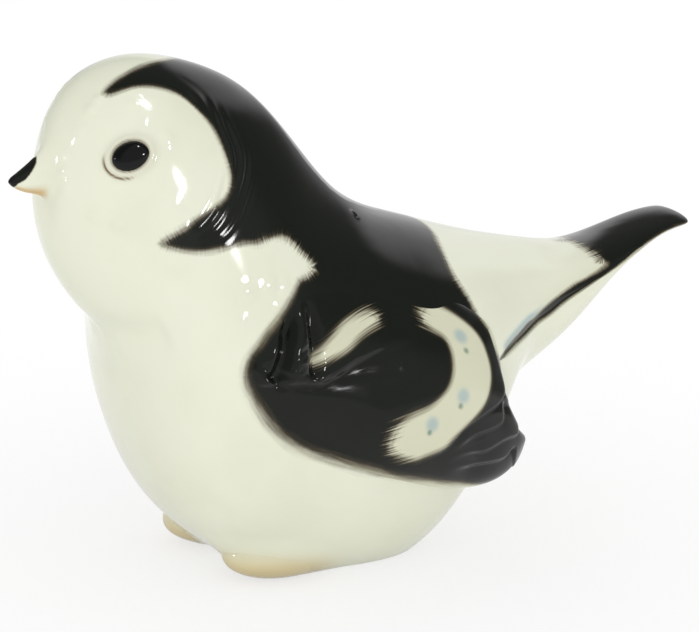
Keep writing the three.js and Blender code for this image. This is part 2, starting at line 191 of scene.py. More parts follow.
TAIL_EDGE = [
    (17.0, 0, 0.8, 1.6), (17.2, 0.02, 1.0, 1.6), (17.3, 0.06, 1.2, 1.5), (17.35, 0.11, 1.3, 1.4),
    (17.45, 0.16, 1.4, 1.3), (17.55, 0.215, 1.4, 1.2), (17.65, 0.27, 1.2, 1.0), (17.8, 0.31, 0.5, 0.7),
    (17.5, 0.32, 0.15, 0.5),
    *brushed(
        0.1, 0.4, (17.25, 0.32), (16.95, 0.325), (16.7, 0.34), (16.4, 0.365), (16.25, 0.375),
        (15.85, 0.39), (15.5, 0.385), (15.2, 0.375), (14.7, 0.38)),
    (14.4, 0.39, 0.1, 0.3), (14.15, 0.405, 0.1, 0.2),
    *brushed(0.05, 0.2, *TAIL_GROOVE[1:9]), *brushed(0.1, 0.3, *TAIL_GROOVE[9:11]),
    *brushed(0.1, 0.5, *TAIL_GROOVE[11:]),
]
TAIL_CLOSING = [(23.0, 0.62), (23.0, -0.1), (17.0, -0.1)]
CULMEN_EDGE = [
    *brushed(0.05, 0.12, (0.26, 1.0), (0.43, 0.57), (0.75, 0.43), (1.12, 0.31)),
    *brushed(0.05, 0.15, (1.45, 0.19), (1.6, 0.11), (1.72, 0)),
]
CULMEN_CLOSING = [(1.72, -0.2), (-0.5, -0.2), (-0.5, 1.1), (0.26, 1.1)]

# Wing, in millimetres: its length and depth, the tuck of its edge, the drop of its upper rim, and the
# height at which its relief is full
WING_SPAN = 62.0
WING_DEPTH = 32.0
WING_TUCK = 0.15
RIM_DROP = 0.8
RELIEF_FULL = 1.2
# Wing, in shares: where its soft shoulder turns into a firm rim, how much of its depth is rounded in
# front and behind, where the front has risen and the tip starts, and where it lifts
UPPER_TURN = (0.5, 0.7)
LOWER_TURN = (0.3, 0.6)
UPPER_ROUND = (0.5, 0.14)
LOWER_ROUND = (0.48, 0.22)
FRONT_END = 0.25
TIP_START = 0.9
LIFT_ALONG = (0.5, 0.95)
LIFT_ACROSS = (0.05, 0.4)
RIM_DROP_END = (0.2, 0.5)

# Grooves in the shoulder, the last a ridge: share of the groove depth, widths at start and end, places
SHOULDER_GROOVES = [
    (1.6, 0.8, 1.5, [(0.225, 0.04), (0.22, 0.11), (0.205, 0.27), (0.2, 0.4), (0.19, 0.55), (0.165, 0.67)]),
    (1.1, 0.9, 0.9, [(0.265, 0.12), (0.27, 0.18), (0.28, 0.34), (0.285, 0.45), (0.29, 0.57)]),
    (0.13, 0.8, 0.8, [(0.34, 0.54), (0.38, 0.52), (0.43, 0.49), (0.48, 0.45)]),
    (-0.5, 2.0, 2.0, [(0.245, 0.07), (0.245, 0.2), (0.24, 0.35), (0.24, 0.48), (0.23, 0.58)]),
]
SHOULDER_KNOBS = [(0.14, 0.7), (0.085, 0.74), (0.3, 0.53)]
KNOB_SHARE = 0.3
KNOB_WIDTH = 1.3
# Flattened spots: place, and slope along and across the wing. FACET_CURVE is twice the radius of the
# bulge that they flatten.
SHOULDER_FACETS = [
    (0.24, 0.15, 0.15, 0.15), (0.235, 0.41, -0.45, -0.05), (0.23, 0.52, -0.4, 0.05),
    (0.125, 0.54, -0.25, 0.1),
]
FACET_WIDTH = 2.0
FACET_CURVE = 16.0
# Barbs round the shoulder's fleck
SCAPULAR_BARBS = (0.36, 0.32)
SCAPULAR_TURN = np.array([(0.72, -0.69), (0.69, 0.72)])
SCAPULAR_SIZE = (8.0, 4.0)
SCAPULAR_SPACING = 1.2
SCAPULAR_HEIGHT = 0.06
# Feather edges: share of the feather step, how far on the surface recovers, half the width of the step,
# the shares of its path where it grows and dies away, and places
FLIGHT_FEATHER = (1.0, 2.8, 0.8, 0.15, 0.45)
FEATHER_EDGES = [
    (1.0, 2.8, 0.9, 0.4, 0.15, [
        (0.54, 0.25), (0.49, 0.3), (0.44, 0.37), (0.39, 0.44), (0.355, 0.5), (0.31, 0.56), (0.25, 0.59),
        (0.17, 0.67), (0.13, 0.74), (0.085, 0.84), (0.04, 0.93)]),
    (1.2, 4.5, 0.6, 0.15, 0.35, [
        (0.64, 0.01), (0.67, 0.1), (0.7, 0.16), (0.73, 0.24), (0.72, 0.36), (0.68, 0.49), (0.64, 0.61),
        (0.62, 0.68), (0.6, 0.77), (0.56, 0.84), (0.5, 0.9)]),
    (*FLIGHT_FEATHER, [
        (0.735, 0.33), (0.74, 0.41), (0.74, 0.49), (0.7, 0.59), (0.66, 0.67), (0.63, 0.75), (0.59, 0.82)]),
    (*FLIGHT_FEATHER, [
        (0.83, 0.33), (0.84, 0.42), (0.785, 0.54), (0.72, 0.69), (0.68, 0.74), (0.64, 0.79), (0.6, 0.85)]),
    (*FLIGHT_FEATHER, [
        (0.85, 0.54), (0.82, 0.62), (0.79, 0.7), (0.71, 0.79), (0.66, 0.84), (0.62, 0.87)]),
]
SHOULDER_FLECK = [
    (0.28, 0.45, 1.0, 0.8),
    *brushed(0.4, 0.7, (0.3, 0.38), (0.325, 0.32), (0.35, 0.26)),
    (0.38, 0.22, 1.0, 0.8),
    *brushed(1.6, 0.9, (0.41, 0.2), (0.42, 0.23)),
    (0.41, 0.27, 1.0, 0.8),
    *brushed(0.4, 0.7, (0.38, 0.33), (0.355, 0.39), (0.32, 0.43)),
    (0.29, 0.46, 0.9, 0.8),
]
WING_BAR = [
    *brushed(1.4, 1.0, (0.505, 0.14), (0.515, 0.09)),
    (0.525, 0.07, 0.6, 0.8), (0.55, 0.08, 0.2, 0.6), (0.585, 0.12, 0.15, 0.5),
    *brushed(0.1, 0.45, (0.61, 0.16), (0.635, 0.22), (0.655, 0.3), (0.655, 0.43), (0.64, 0.55)),
    (0.605, 0.7, 0.2, 0.6), (0.59, 0.77, 0.25, 0.7), (0.56, 0.83, 0.3, 0.8), (0.54, 0.86, 0.6, 0.8),
    *brushed(1.6, 1.0, (0.5, 0.85), (0.485, 0.8), (0.485, 0.75)),
    (0.495, 0.7, 0.8, 0.9), (0.515, 0.65, 0.4, 0.8), (0.535, 0.61, 0.2, 0.65),
    *brushed(0.15, 0.55, (0.555, 0.54), (0.565, 0.44), (0.555, 0.3)),
    (0.54, 0.24, 0.2, 0.7), (0.525, 0.22, 0.6, 0.8), (0.51, 0.19, 1.2, 1.0),
]
# The way that the brush ran round the fleck and the bar
FLECK_STROKE = [(0.24, 0.51), (0.3, 0.42), (0.36, 0.32), (0.4, 0.25), (0.45, 0.17)]
BAR_STROKE = [
    (0.4, 0.91), (0.46, 0.85), (0.51, 0.77), (0.55, 0.7), (0.59, 0.6), (0.605, 0.5), (0.61, 0.4),
    (0.605, 0.29), (0.58, 0.2), (0.55, 0.15), (0.51, 0.11), (0.46, 0.09),
]
# Dabs on the white bar: the wash, the radius and the places
BAR_DABS = [
    ("blue", 1.15, [(0.575, 0.22), (0.595, 0.51), (0.55, 0.68)]),
    ("green", 0.45, [(0.585, 0.29), (0.595, 0.56), (0.55, 0.72)]),
]
DAB_COVER = 0.7

# Toe pads: their fillet, the reach of their wash and the heights where it fades, and the breast by them
TOE_FILLET = 6.0
TOE_WASH_REACH = 3.0
TOE_WASH_FADE = (1.5, 8.0)
BREAST_STATIONS = (8, 13)
BREAST_GIRTHS = (0.6, 1.3)

# Depth of a hollow that thick glaze fills, and the share of the pooled glaze's darker, yellower colour
# that a wing's white takes all over
POOL_DEPTH = 0.35
WING_WHITE_TONE = 0.8

# Mesh counts
BODY_RINGS = 320
BEAK_RINGS = 60
TAIL_RINGS = 110
SKIN_SIDES = 272
WING_MESH = (270, 150)
EYE_MESH = (64, 32)
TOE_MESH = (96, 64)
DOME_MESH = (240, 62)
BREAST_STEPS = 160
GRADING_STEPS = 4000
# Where rings along the skin and points round it lie closer: the place, how much closer, and the width
CLOSER_RINGS = [
    (EYE_AT[0], 1.2, 0.6), (VENT_AT[0], 3.5, 0.1), (BEAK_ROOT, 2.5, 0.1), (TAIL_ROOT, 2.0, 0.12),
]
CLOSER_SIDES = [(EYE_AT[1], 1.0, 0.08), (VENT_AT[1], 3.0, 0.012)]
HEAD_STATIONS = (2.5, 3.5, 7.2, 8.2)
# Tolerances, the tilt of a face that looks down, and the angle of an edge that stays sharp
WELD = 0.002
CUT = 0.001
LEVEL = 0.01
DOWNWARD = -0.99
SHARP_ANGLE = math.radians(40)

# Brush marks per millimetre along a painted edge and across it: at the ends of strokes, and beside them
BRISTLE_MARKS = (3.0, 0.1, 0.0)
EDGE_MARKS = (0.15, 1.6, 0.0)

# Stage, in metres and degrees: lamps have a name, azimuth, elevation, distance, size, watts and whether
# the glaze mirrors them; those that it mirrors light nothing else
LOOK_AT = (0, 0, 0.04)
CAMERA_DIRECTION = (-30, 17)
CAMERA_DISTANCE = 0.8
CAMERA_SHIFT = (0.0494, -0.011)
SENSOR_WIDTH = 36.0
FRAME_WIDTH = 0.1139
CLIP_START = 0.05
LAMPS = [
    ("top_lamp", 10, 68, 0.9, 0.1, 0.75, True),
    ("side_lamp", 13, 14, 0.9, 0.14, 1.5, True),
    ("front_lamp", -105, 8, 0.9, 0.07, 0.4, True),
    ("fill_lamp", -34, 4, 1.2, 0.2, 2.2, False),
]
SURROUND_LIGHT = 0.87
# Floor: FLOOR_SHADE is where it turns to pure white and how white it is there; the others are its tones
# in the glaze, before and behind the bird, and the distances over which they change
FLOOR_SIZE = 6.0
FLOOR_DROP = 0.0001
FLOOR_COLOUR = (0.95, 0.95, 0.95, 1)
FLOOR_SHADE = (0.02, 0.13, 0.7, 1.0)
FLOOR_SHEEN = (0.5, 1.0)
BRIGHT_WAY = (0.8, 0.6, 0)
NEAR_TURN = (-0.06, 0.06)
HORIZON_REACH = (0.25, 0.9)
HORIZON_TURN = (0.3, 0.9)
# Room that only the glaze mirrors, in degrees: it is pale near an azimuth and low down, and has a window
# with soft borders, a sloping sill (azimuth, elevation and slope) and a head that drops
DOME_RADIUS = 1.6
DOME_ELEVATIONS = (-2, 89)
DOME_TONES = (0.13, 0.33)
PALE_FRONT = (-10, 40, 75)
PALE_LOW = (0, 18)
WINDOW_SIDES = (75, 95, 140, 180)
WINDOW_SILL = (90, 36, -0.7)
WINDOW_HEAD = (41, 20)
HEAD_DROP = (120, 165)
WINDOW_BORDER = 8


def length_property(label, description, length):
    """A length, given in millimetres."""
    return bpy.props.FloatProperty(
        name=label, description=description, default=length * MM, unit="LENGTH")


class BuntingSizes(bpy.types.PropertyGroup):
    """Sizes of the figurine's applied parts and relief."""

    eye_length: length_property("Eye length", "Length of the eye pellet", 6.0)
    eye_height: length_property("Eye height", "Height of the eye pellet", 4.7)
    eye_proud: length_property("Eye stand-out", "How far the pellet stands out", 0.9)
    lid_height: length_property("Lid height", "Height of the ridge round the eye", 0.26)
    tuft_height: length_property("Tuft height", "Height of a feather tuft", 0.28)
    vent_diameter: length_property("Vent diameter", "Pin-hole that vented the kiln gases", 0.9)
    wing_proud: length_property("Wing height", "How far the wing stands off the flank", 2.4)
    wing_tip_proud: length_property("Wing tip height", "How far the wing's tip stands off", 5.7)
    feather_step: length_property("Feather step", "Step at a flight feather's edge", 0.85)
    groove_depth: length_property("Groove depth", "Depth of the grooves in the shoulder", 1.1)
    toe_length: length_property("Toe length", "Length of a toe pad", 15.0)
    toe_width: length_property("Toe width", "Width of a toe pad", 10.4)
    toe_height: length_property("Toe height", "Height of a toe pad", 6.4)
    foot_ring: length_property("Foot ring", "Width of the ring that it stands on", 4.5)
    plate_thickness: length_property("Plate thickness", "Thickness of the base plate", 2.2)
    slip_gap: length_property("Slip gap", "Film of slip between luted pieces", 0.3)


def colour_property(label, description, red, green, blue):
    """A colour given by its 0 to 255 screen values, kept as Blender's linear colour."""
    linear = [((c / 255 + 0.055) / 1.055) ** 2.4 for c in (red, green, blue)]
    return bpy.props.FloatVectorProperty(
        name=label, description=description, subtype="COLOR", size=4, min=0, max=1, default=(*linear, 1))


class BuntingColours(bpy.types.PropertyGroup):
    """Glazes and pigments of the figurine."""

    white: colour_property("White", "Glazed porcelain", 236, 238, 218)
    pooled: colour_property("Pooled glaze", "Glaze lying thick in a hollow", 204, 203, 172)
    black: colour_property("Black", "Painted black", 23, 26, 21)
    thin_black: colour_property("Thin black", "Black where the brush ran dry", 104, 90, 68)
    brown: colour_property("Brown", "Tint round the eyes", 116, 86, 54)
    ochre: colour_property("Ochre", "Lower half of the beak", 208, 168, 100)
    blue: colour_property("Blue", "Pale tint on wing bar and tail", 160, 184, 188)
    green: colour_property("Green", "Dark dots on the wing bar", 84, 118, 104)
    toe: colour_property("Toe tan", "Wash over the feet", 212, 196, 152)
    eye: colour_property("Eye", "Eye pellets", 8, 9, 9)
    biscuit: colour_property("Biscuit", "Unglazed clay under the base", 222, 214, 196)


def spline(rows, at):
    """Points of a curve through the rows, at fractional row numbers. Its bend never jumps, so a mirror
    image in the glaze doesn't break."""
    rows = np.asarray(rows, float)
    count = len(rows)
    index = np.clip(np.floor(at).astype(int), 0, count - 2)
    t = (at - index)[..., None]
    padded = np.vstack([rows[0], rows, rows[-1]])
    weights = 4 * np.eye(count) + np.eye(count, k=1) + np.eye(count, k=-1)
    weights[0, 0] = weights[-1, -1] = 2
    slopes = np.linalg.solve(weights, 3 * (padded[2:] - padded[:-2]))
    start, end, leave, arrive = rows[index], rows[index + 1], slopes[index], slopes[index + 1]
    bend = t ** 3 - t ** 2
    chord = (3 * t ** 2 - 2 * t ** 3) * (end - start)
    return start + chord + (bend - t ** 2 + t) * leave + bend * arrive


def smooth(value, low, high):
    """0 below low, 1 above high, and an S-curve between."""
    t = np.clip((value - low) / (high - low), 0, 1)
    return t ** 3 * (10 - 15 * t + 6 * t * t)


def bell(distance, width):
    """A rounded bump, 1 at no distance."""
    return np.exp(-(distance / width) ** 2)


def ring(distance, radius, width):
    """A rounded rim, 1 at a radius."""
    return bell(distance - radius, width)


def band(value, start, full, fade, end):
    """1 from full to fade, and 0 before start and after end."""
    return smooth(value, start, full) * (1 - smooth(value, fade, end))


def blend(pair, share):
    """The first of a pair, turning into the second as the share grows to 1."""
    first, second = pair
    return first + (second - first) * share


def quarter_round(share):
    """Rises from 0 to 1 like a quarter of a circle."""
    return np.sqrt(1 - (1 - np.clip(share, 0, 1)) ** 2)


def unit(vectors):
    """The vectors' directions, of length 1."""
    return vectors / np.linalg.norm(vectors, axis=-1, keepdims=True)


def skin_point(station, girth):
    """Points of the smooth skin, in millimetres."""
    station, girth = np.broadcast_arrays(np.asarray(station, float), np.asarray(girth, float))
    back_x, back_z, belly_x, belly_z, half, drop = np.moveaxis(spline(SECTIONS, station), -1, 0)
    depth = (1 - np.cos(girth * np.pi)) / 2
    along = depth + drop * depth * (1 - depth)
    x = back_x + (belly_x - back_x) * along
    z = back_z + (belly_z - back_z) * along
    return np.stack([x, -half * np.sin(girth * np.pi), z], -1)


def skin_normal(station, girth):
    """Directions straight out of the smooth skin."""
    step = 0.01
    lengthwise = skin_point(station + step, girth) - skin_point(station - step, girth)
    around = skin_point(station, girth + step) - skin_point(station, girth - step)
    return unit(np.cross(around, lengthwise))


def smooth_path(places, steps=8):
    """A curve through places, with several points between each two."""
    count = (len(places) - 1) * steps + 1
    return spline(places, np.linspace(0, len(places) - 1, count))


def nearest_on(path, points, normals, reach):
    """How far points lie from a path, the fractional number of the path's nearest point, and the side:
    positive to the left of the way it runs, seen from outside. Points out of reach get the reach."""
    distance = np.full(len(points), float(reach))
    number = np.zeros(len(points))
    side = np.ones(len(points))
    near = np.all((points > path.min(0) - reach) & (points < path.max(0) + reach), axis=1)
    p, n = points[near], normals[near]
    best, at, hand = distance[near], number[near], side[near]
    for k, (start, end) in enumerate(zip(path[:-1], path[1:])):
        run = end - start
        t = np.clip((p - start) @ run / max(run @ run, 1e-12), 0, 1)
        off = p - start - t[:, None] * run
        d = np.sqrt(np.einsum("ij,ij->i", off, off))
        closer = d < best
        best[closer] = d[closer]
        at[closer] = k + t[closer]
        hand[closer] = np.sign(np.einsum("ij,ij->i", np.cross(n[closer], run), off[closer]))
    distance[near], number[near], side[near] = best, at, hand
    return distance, number, side


def within(outline, across, up):
    """Which points of a plane lie inside a closed outline."""
    inside = np.zeros(len(across), bool)
    for (x0, y0), (x1, y1) in zip(outline, np.roll(outline, -1, axis=0)):
        if y0 != y1:
            crossing = (y0 > up) != (y1 > up)
            inside ^= crossing & (across < (x1 - x0) * (up - y0) / (y1 - y0) + x0)
    return inside


class Paint:
    """Painted black on a sheet: millimetres inside its edge, bristle length and softness of the edge,
    and millimetres across the strokes."""

    REACH = 9.0

    def __init__(self, depth, bristle, blur, run):
        self.depth, self.bristle, self.blur, self.run = depth, bristle, blur, run

    @classmethod
    def area(cls, edge, closing, stroke, lay, points, normals, across, up):
        """An area with a drawn edge, closed by places where no edge shows. lay turns places to points.
        The brush ran along the stroke; with none, it ran to the edge from inside."""
        line = smooth_path(edge)
        path = lay(line[:, 0], line[:, 1])
        distance, number, _ = nearest_on(path, points, normals, cls.REACH)
        inside = within(np.vstack([line[:, :2], *closing]), across, up)
        marks = np.arange(len(line))
        bristle = np.interp(number, marks, line[:, 2])
        blur = np.interp(number, marks, line[:, 3])
        if stroke:
            way = smooth_path(stroke)
            off, _, side = nearest_on(lay(way[:, 0], way[:, 1]), points, normals, cls.REACH)
            run = off * side
        else:
            length = np.cumsum(np.r_[0, np.linalg.norm(np.diff(path, axis=0), axis=1)])
            run = np.interp(number, marks, length)
        return cls(np.where(inside, distance, -distance), bristle, blur, run)

    def _chosen(self, other, first):
        mine, theirs = self.attributes().values(), other.attributes().values()
        return Paint(*(np.where(first, a, b) for a, b in zip(mine, theirs)))

    def joined(self, other):
        return self._chosen(other, self.depth > other.depth)

    def without(self, other):
        bare = Paint(-other.depth, other.bristle, other.blur, other.run)
        return self._chosen(bare, self.depth < bare.depth)

    def attributes(self):
        return {"paint": self.depth, "bristle": self.bristle, "blur": self.blur, "run": self.run}


def taper(number, last, start=0.15, end=0.15):
    """Fades a feature in and out towards the ends of its path."""
    return band(number / last, -0.001, start, 1 - end, 1.001)


def groove(path, points, normals, width, end_width):
    """A valley of depth 1 along a path, from one width to another."""
    last = len(path) - 1
    widths = (width, end_width)
    distance, number, _ = nearest_on(path, points, normals, 4 * max(widths))
    return -bell(distance, np.interp(number, (0, last), widths)) * taper(number, last)


def nearest_of(centres, points):
    """How far points lie from the nearest of a few centres."""
    return np.linalg.norm(points[:, None] - centres, axis=-1).min(1)


def lap(path, points, normals, recover, sharp=0.16, start=0.15, end=0.15):
    """A feather's edge of height 1 along a path: to its left the surface drops, then recovers."""
    distance, number, side = nearest_on(path, points, normals, 5 * recover)
    signed = distance * side
    fall = np.exp(-np.clip(signed, 0, None) / recover) * smooth(signed, -sharp, sharp)
    return -fall * taper(number, len(path) - 1, start, end)


class Sheet:
    """Points of the skin, and the same points laid on the left side, where the features are drawn."""

    def __init__(self, station, girth):
        self.station, self.girth = station, girth
        self.fold = np.where(girth > 1, 2 - girth, girth)
        self.points = skin_point(station, girth)
        self.normals = skin_normal(station, girth)
        hand = np.ones((len(station), 3))
        hand[girth > 1, 1] = -1
        self.left_points = self.points * hand
        self.left_normals = self.normals * hand


def skin_axes(place):
    """The point at a place and three directions there: towards the tail, up over the back, and out."""
    out = skin_normal(*place)
    rearward = unit(np.array([1.0, 0, 0]) - out * out[0])
    return skin_point(*place), rearward, np.cross(out, rearward), out


def turned(first, second):
    """Two directions, or measures along them, turned by the eye's tilt."""
    cosine, sine = math.cos(EYE_TILT), math.sin(EYE_TILT)
    return first * cosine + second * sine, second * cosine - first * sine


def eye_polar(sheet, sizes):
    """Round the eye: the distance in eye radii and in millimetres, and the angle from rearward."""
    centre, rearward, upward, out = skin_axes(EYE_AT)
    off = sheet.left_points - centre
    behind, above = off @ rearward, off @ upward
    along, across = turned(behind, above)
    radii = np.hypot(along / (sizes.eye_length / MM / 2), across / (sizes.eye_height / MM / 2))
    far = (sheet.left_points[:, 1] > 0) | (np.abs(off @ out) > FACE_DEPTH)
    distance = np.hypot(behind, above)
    return np.where(far, FAR_SIDE, radii), np.where(far, FAR_SIDE, distance), np.arctan2(above, behind)


def lower_front(angle):
    """1 under the front of the eye, fading to 0 round it."""
    return smooth(-np.cos(angle - CREASE_ANGLE), 0.45, 0.98)


def eye_relief(sheet, sizes):
    """The socket, the lid's ridge with a crease under it, and rough barbs behind the cheek."""
    radii, distance, angle = eye_polar(sheet, sizes)
    lid = ring(radii, *LID_RIDGE) - lower_front(angle) * ring(radii, *LID_CREASE)
    relief = lid * sizes.lid_height / MM - SOCKET_DEPTH * (1 - smooth(radii, 0.8, 1.0))
    behind, above = distance * np.cos(angle), distance * np.sin(angle)
    past_crown = above - CROWN_HEIGHT + CROWN_FALL * np.clip(behind, 0, None) ** 2
    wave = distance + 0.4 * np.sin(4 * angle + 1) + 0.25 * np.sin(9 * angle)
    barbs = np.sin(2 * math.pi * wave / BARB_SPACING) * (0.6 + 0.4 * np.sin(7 * angle + 1.3 * distance))
    barbs *= band(distance, *BARB_BAND) * (1 - smooth(past_crown, 3, 6))
    barbs *= smooth(np.cos(angle + 0.1), 0.5, 0.8)
    return relief + barbs * BARB_HEIGHT


def tuft_relief(sheet, sizes):
    """Single feather tufts, flatter on the right side."""
    relief = np.zeros(len(sheet.station))
    for station, girth, share, width in TUFTS:
        distance = np.linalg.norm(sheet.left_points - skin_point(station, girth), axis=1)
        relief = np.maximum(relief, share * bell(distance, width))
    return relief * sizes.tuft_height / MM * np.where(sheet.girth > 1, RIGHT_TUFTS, 1)


def vent_relief(sheet, sizes):
    """The pin-hole in the back, with a low rim."""
    radius = sizes.vent_diameter / MM / 2
    distance = np.linalg.norm(sheet.points - skin_point(*VENT_AT), axis=1)
    rim = VENT_RIM * ring(distance, 1.5 * radius, 0.5 * radius)
    return rim - VENT_DEPTH * (1 - smooth(distance, 0.55 * radius, 1.1 * radius))


def skin_path(places):
    """Points of a curve through places on the skin."""
    return skin_point(*smooth_path(places).T)


def skin_relief(sheet, sizes):
    """How far the modelled surface stands off the smooth skin: in fine relief and in broad forms."""
    where = (sheet.left_points, sheet.left_normals)
    fine = eye_relief(sheet, sizes) + tuft_relief(sheet, sizes) + vent_relief(sheet, sizes)
    fine += TAIL_GROOVE_DEPTH * lap(
        skin_path(TAIL_GROOVE), *where, TAIL_GROOVE_WIDTH, start=0.08, end=0.35)
    throat = groove(skin_path(THROAT_VALLEY), *where, THROAT_WIDTH, THROAT_WIDTH)
    return fine, THROAT_DEPTH * throat + fillet(toe_distance(sheet.left_points, sizes))


def skin_paint(sheet):
    """The black mantle with its crown stripes, the black tail with its side stripes, and the culmen."""
    where = (sheet.left_points, sheet.left_normals, sheet.station, sheet.fold)
    mantle, tail, culmen = (
        Paint.area(edge, closing, None, skin_point, *where) for edge, closing in (
            (MANTLE_EDGE, MANTLE_CLOSING), (TAIL_EDGE, TAIL_CLOSING), (CULMEN_EDGE, CULMEN_CLOSING)))
    return mantle.joined(tail).joined(culmen)


def skin_tints(sheet, sizes):
    """Brown round the eyes and along the lid's crease, ochre under the beak, blue by the tail, tan at the
    feet.
    """
    radii, _, angle = eye_polar(sheet, sizes)
    # A dark brown line along the lower front of the lid's crease
    brown = lower_front(angle) * ring(radii, *CREASE_BROWN)
    for cover, *at in LID_WASHES:
        brown += cover * ring(radii, *at)
    ochre = OCHRE_COVER * smooth(sheet.fold, *OCHRE_GIRTHS) * band(sheet.station, *OCHRE_STATIONS)
    stripe = skin_path(TAIL_BLUE)
    distance, number, _ = nearest_on(stripe, sheet.left_points, sheet.left_normals, 4)
    blue = BLUE_COVER * bell(distance, BLUE_WIDTH) * taper(number, len(stripe) - 1, 0.5, 0.1)
    toe = toe_wash(sheet.left_points, sizes)
    return {"brown": np.clip(brown, 0, 1), "ochre": ochre, "blue": blue, "toe": toe}


def toe_pad(sizes):
    """The lower corner of the left toe pad, and half its size."""
    low = np.array(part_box("left_foot")[0]) / MM
    return low, np.array([sizes.toe_length, sizes.toe_width, sizes.toe_height]) / MM / 2


def toe_distance(points, sizes):
    """Roughly how far points lie outside the left toe pad, negative inside it."""
    low, half = toe_pad(sizes)
    centre = low + half
    ratio = np.linalg.norm((points - centre) / half, axis=-1)
    slope = np.linalg.norm((points - centre) / half ** 2, axis=-1)
    return ratio * (ratio - 1) / np.maximum(slope, 1e-9)


def toe_wash(points, sizes):
    """Cover of the wash over the feet, which fades upwards and out over the breast."""
    outside = np.clip(toe_distance(points, sizes), 0, None)
    return bell(outside, TOE_WASH_REACH) * (1 - 0.9 * smooth(points[:, 2], *TOE_WASH_FADE))


def fillet(distance):
    """How far two rounded forms swell where they meet, by the distance from one to the other."""
    return np.maximum(TOE_FILLET - np.abs(distance), 0) ** 2 / (4 * TOE_FILLET)


def skin_distance(points):
    """How far points lie outside the skin of the lower breast."""
    ranges = (np.linspace(*ends, BREAST_STEPS) for ends in (BREAST_STATIONS, BREAST_GIRTHS))
    station, girth = (grid.ravel() for grid in np.meshgrid(*ranges))
    skin, normals = skin_point(station, girth), skin_normal(station, girth)
    tree = KDTree(len(skin))
    for k, place in enumerate(skin):
        tree.insert(place, k)
    tree.balance()
    nearest = [tree.find(point)[1] for point in points]
    return np.einsum("ij,ij->i", points - skin[nearest], normals[nearest])


def deselect():
    """Leaves edit mode and selects nothing."""
    if bpy.context.object and bpy.context.object.mode == "EDIT":
        bpy.ops.object.mode_set(mode="OBJECT")
    bpy.ops.object.select_all(action="DESELECT")


def select_only(piece):
    """Makes a piece the active one, and the only one selected."""
    deselect()
    piece.select_set(True)
    bpy.context.view_layer.objects.active = piece


def enter_edit(piece):
    """Opens a piece for editing, with all of it selected."""
    select_only(piece)
    bpy.ops.object.mode_set(mode="EDIT")
    bpy.ops.mesh.select_all(action="SELECT")


def leave_edit():
    """Turns the faces of the piece in edit mode outwards, and closes it."""
    bpy.ops.mesh.select_all(action="SELECT")
    bpy.ops.mesh.normals_make_consistent(inside=False)
    bpy.ops.object.mode_set(mode="OBJECT")


def named(name):
    """The object that was added last, given a name."""
    added = bpy.context.object
    added.name = added.data.name = name
    return added


def vertices_of(mesh):
    """The places of a mesh's vertices, as rows."""
    flat = np.zeros(len(mesh.vertices) * 3, np.float32)
    mesh.vertices.foreach_get("co", flat)
    return flat.reshape(-1, 3).astype(float)


def reshape(mesh, points, attributes):
    """Moves a mesh's vertices to points in millimetres, and keeps values for the materials."""
    mesh.vertices.foreach_set("co", (points * MM).astype(np.float32).ravel())
    for label, values in attributes.items():
        mesh.attributes.new(label, "FLOAT", "POINT").data.foreach_set("value", values.astype(np.float32))
    mesh.update()


def laid_grid(name, columns, rows, lay):
    """A grid whose vertices are moved where lay puts them. lay takes the shares of the grid's length and
    width, and gives points in millimetres and the attributes to keep."""
    deselect()
    bpy.ops.mesh.primitive_grid_add(x_subdivisions=columns, y_subdivisions=rows, size=1, calc_uvs=False)
    piece = named(name)
    shares = np.clip(vertices_of(piece.data) + 0.5, 0, 1)
    reshape(piece.data, *lay(shares[:, 0], shares[:, 1]))
    return piece


def new_ball(name, segments, rings):
    """A ball of radius 1, to be shaped."""
    deselect()
    bpy.ops.mesh.primitive_uv_sphere_add(segments=segments, ring_count=rings, radius=1)
    return named(name)


def graded(start, end, count, density):
    """Values from start to end, closer together where density is high, as a function of an even share."""
    fine = np.linspace(start, end, GRADING_STEPS)
    weight = np.cumsum(density(fine))
    weight = (weight - weight[0]) / (weight[-1] - weight[0])
    even = np.linspace(0, 1, count + 1)
    stops = np.interp(even, weight, fine)
    return lambda share: np.interp(share, even, stops)


def station_density(station):
    """Rings per station: even along the skin, and closer on the face, at the vent and at the joints."""
    step = 0.01
    length = np.linalg.norm(skin_point(station + step, 0.4) - skin_point(station - step, 0.4), axis=1)
    closer = 1 + 0.8 * band(station, *HEAD_STATIONS)
    for at, more, width in CLOSER_RINGS:
        closer += more * ring(station, at, width)
    return length * closer


def girth_density(girth):
    """Points round the skin: closer at the eye and the vent, and wider apart under the belly."""
    fold = np.where(girth > 1, 2 - girth, girth)
    closer = 1 - 0.3 * smooth(fold, 0.65, 0.8)
    for at, more, width in CLOSER_SIDES:
        closer += more * ring(fold, at, width)
    return closer


def skin_piece(name, start, end, rings, sizes, rounded=lambda station: np.ones(len(station))):
    """A closed length of the bird's skin. rounded draws its rings in towards their middles, at an end."""
    station_at = graded(start, end, rings, station_density)
    girth_at = graded(0, 2, SKIN_SIDES, girth_density)

    def lay(along, around):
        sheet = Sheet(station_at(along), girth_at(around))
        fine, broad = skin_relief(sheet, sizes)
        points = sheet.points + sheet.normals * (fine + broad)[:, None]
        middle = (skin_point(sheet.station, 0.0) + skin_point(sheet.station, 1.0)) / 2
        points = middle + (points - middle) * rounded(sheet.station)[:, None]
        attributes = {**skin_paint(sheet).attributes(), **skin_tints(sheet, sizes)}
        attributes["pool"] = np.clip(-fine / POOL_DEPTH, 0, 1)
        return points, attributes

    piece = laid_grid(name, rings, SKIN_SIDES, lay)
    close_piece(piece)
    return piece


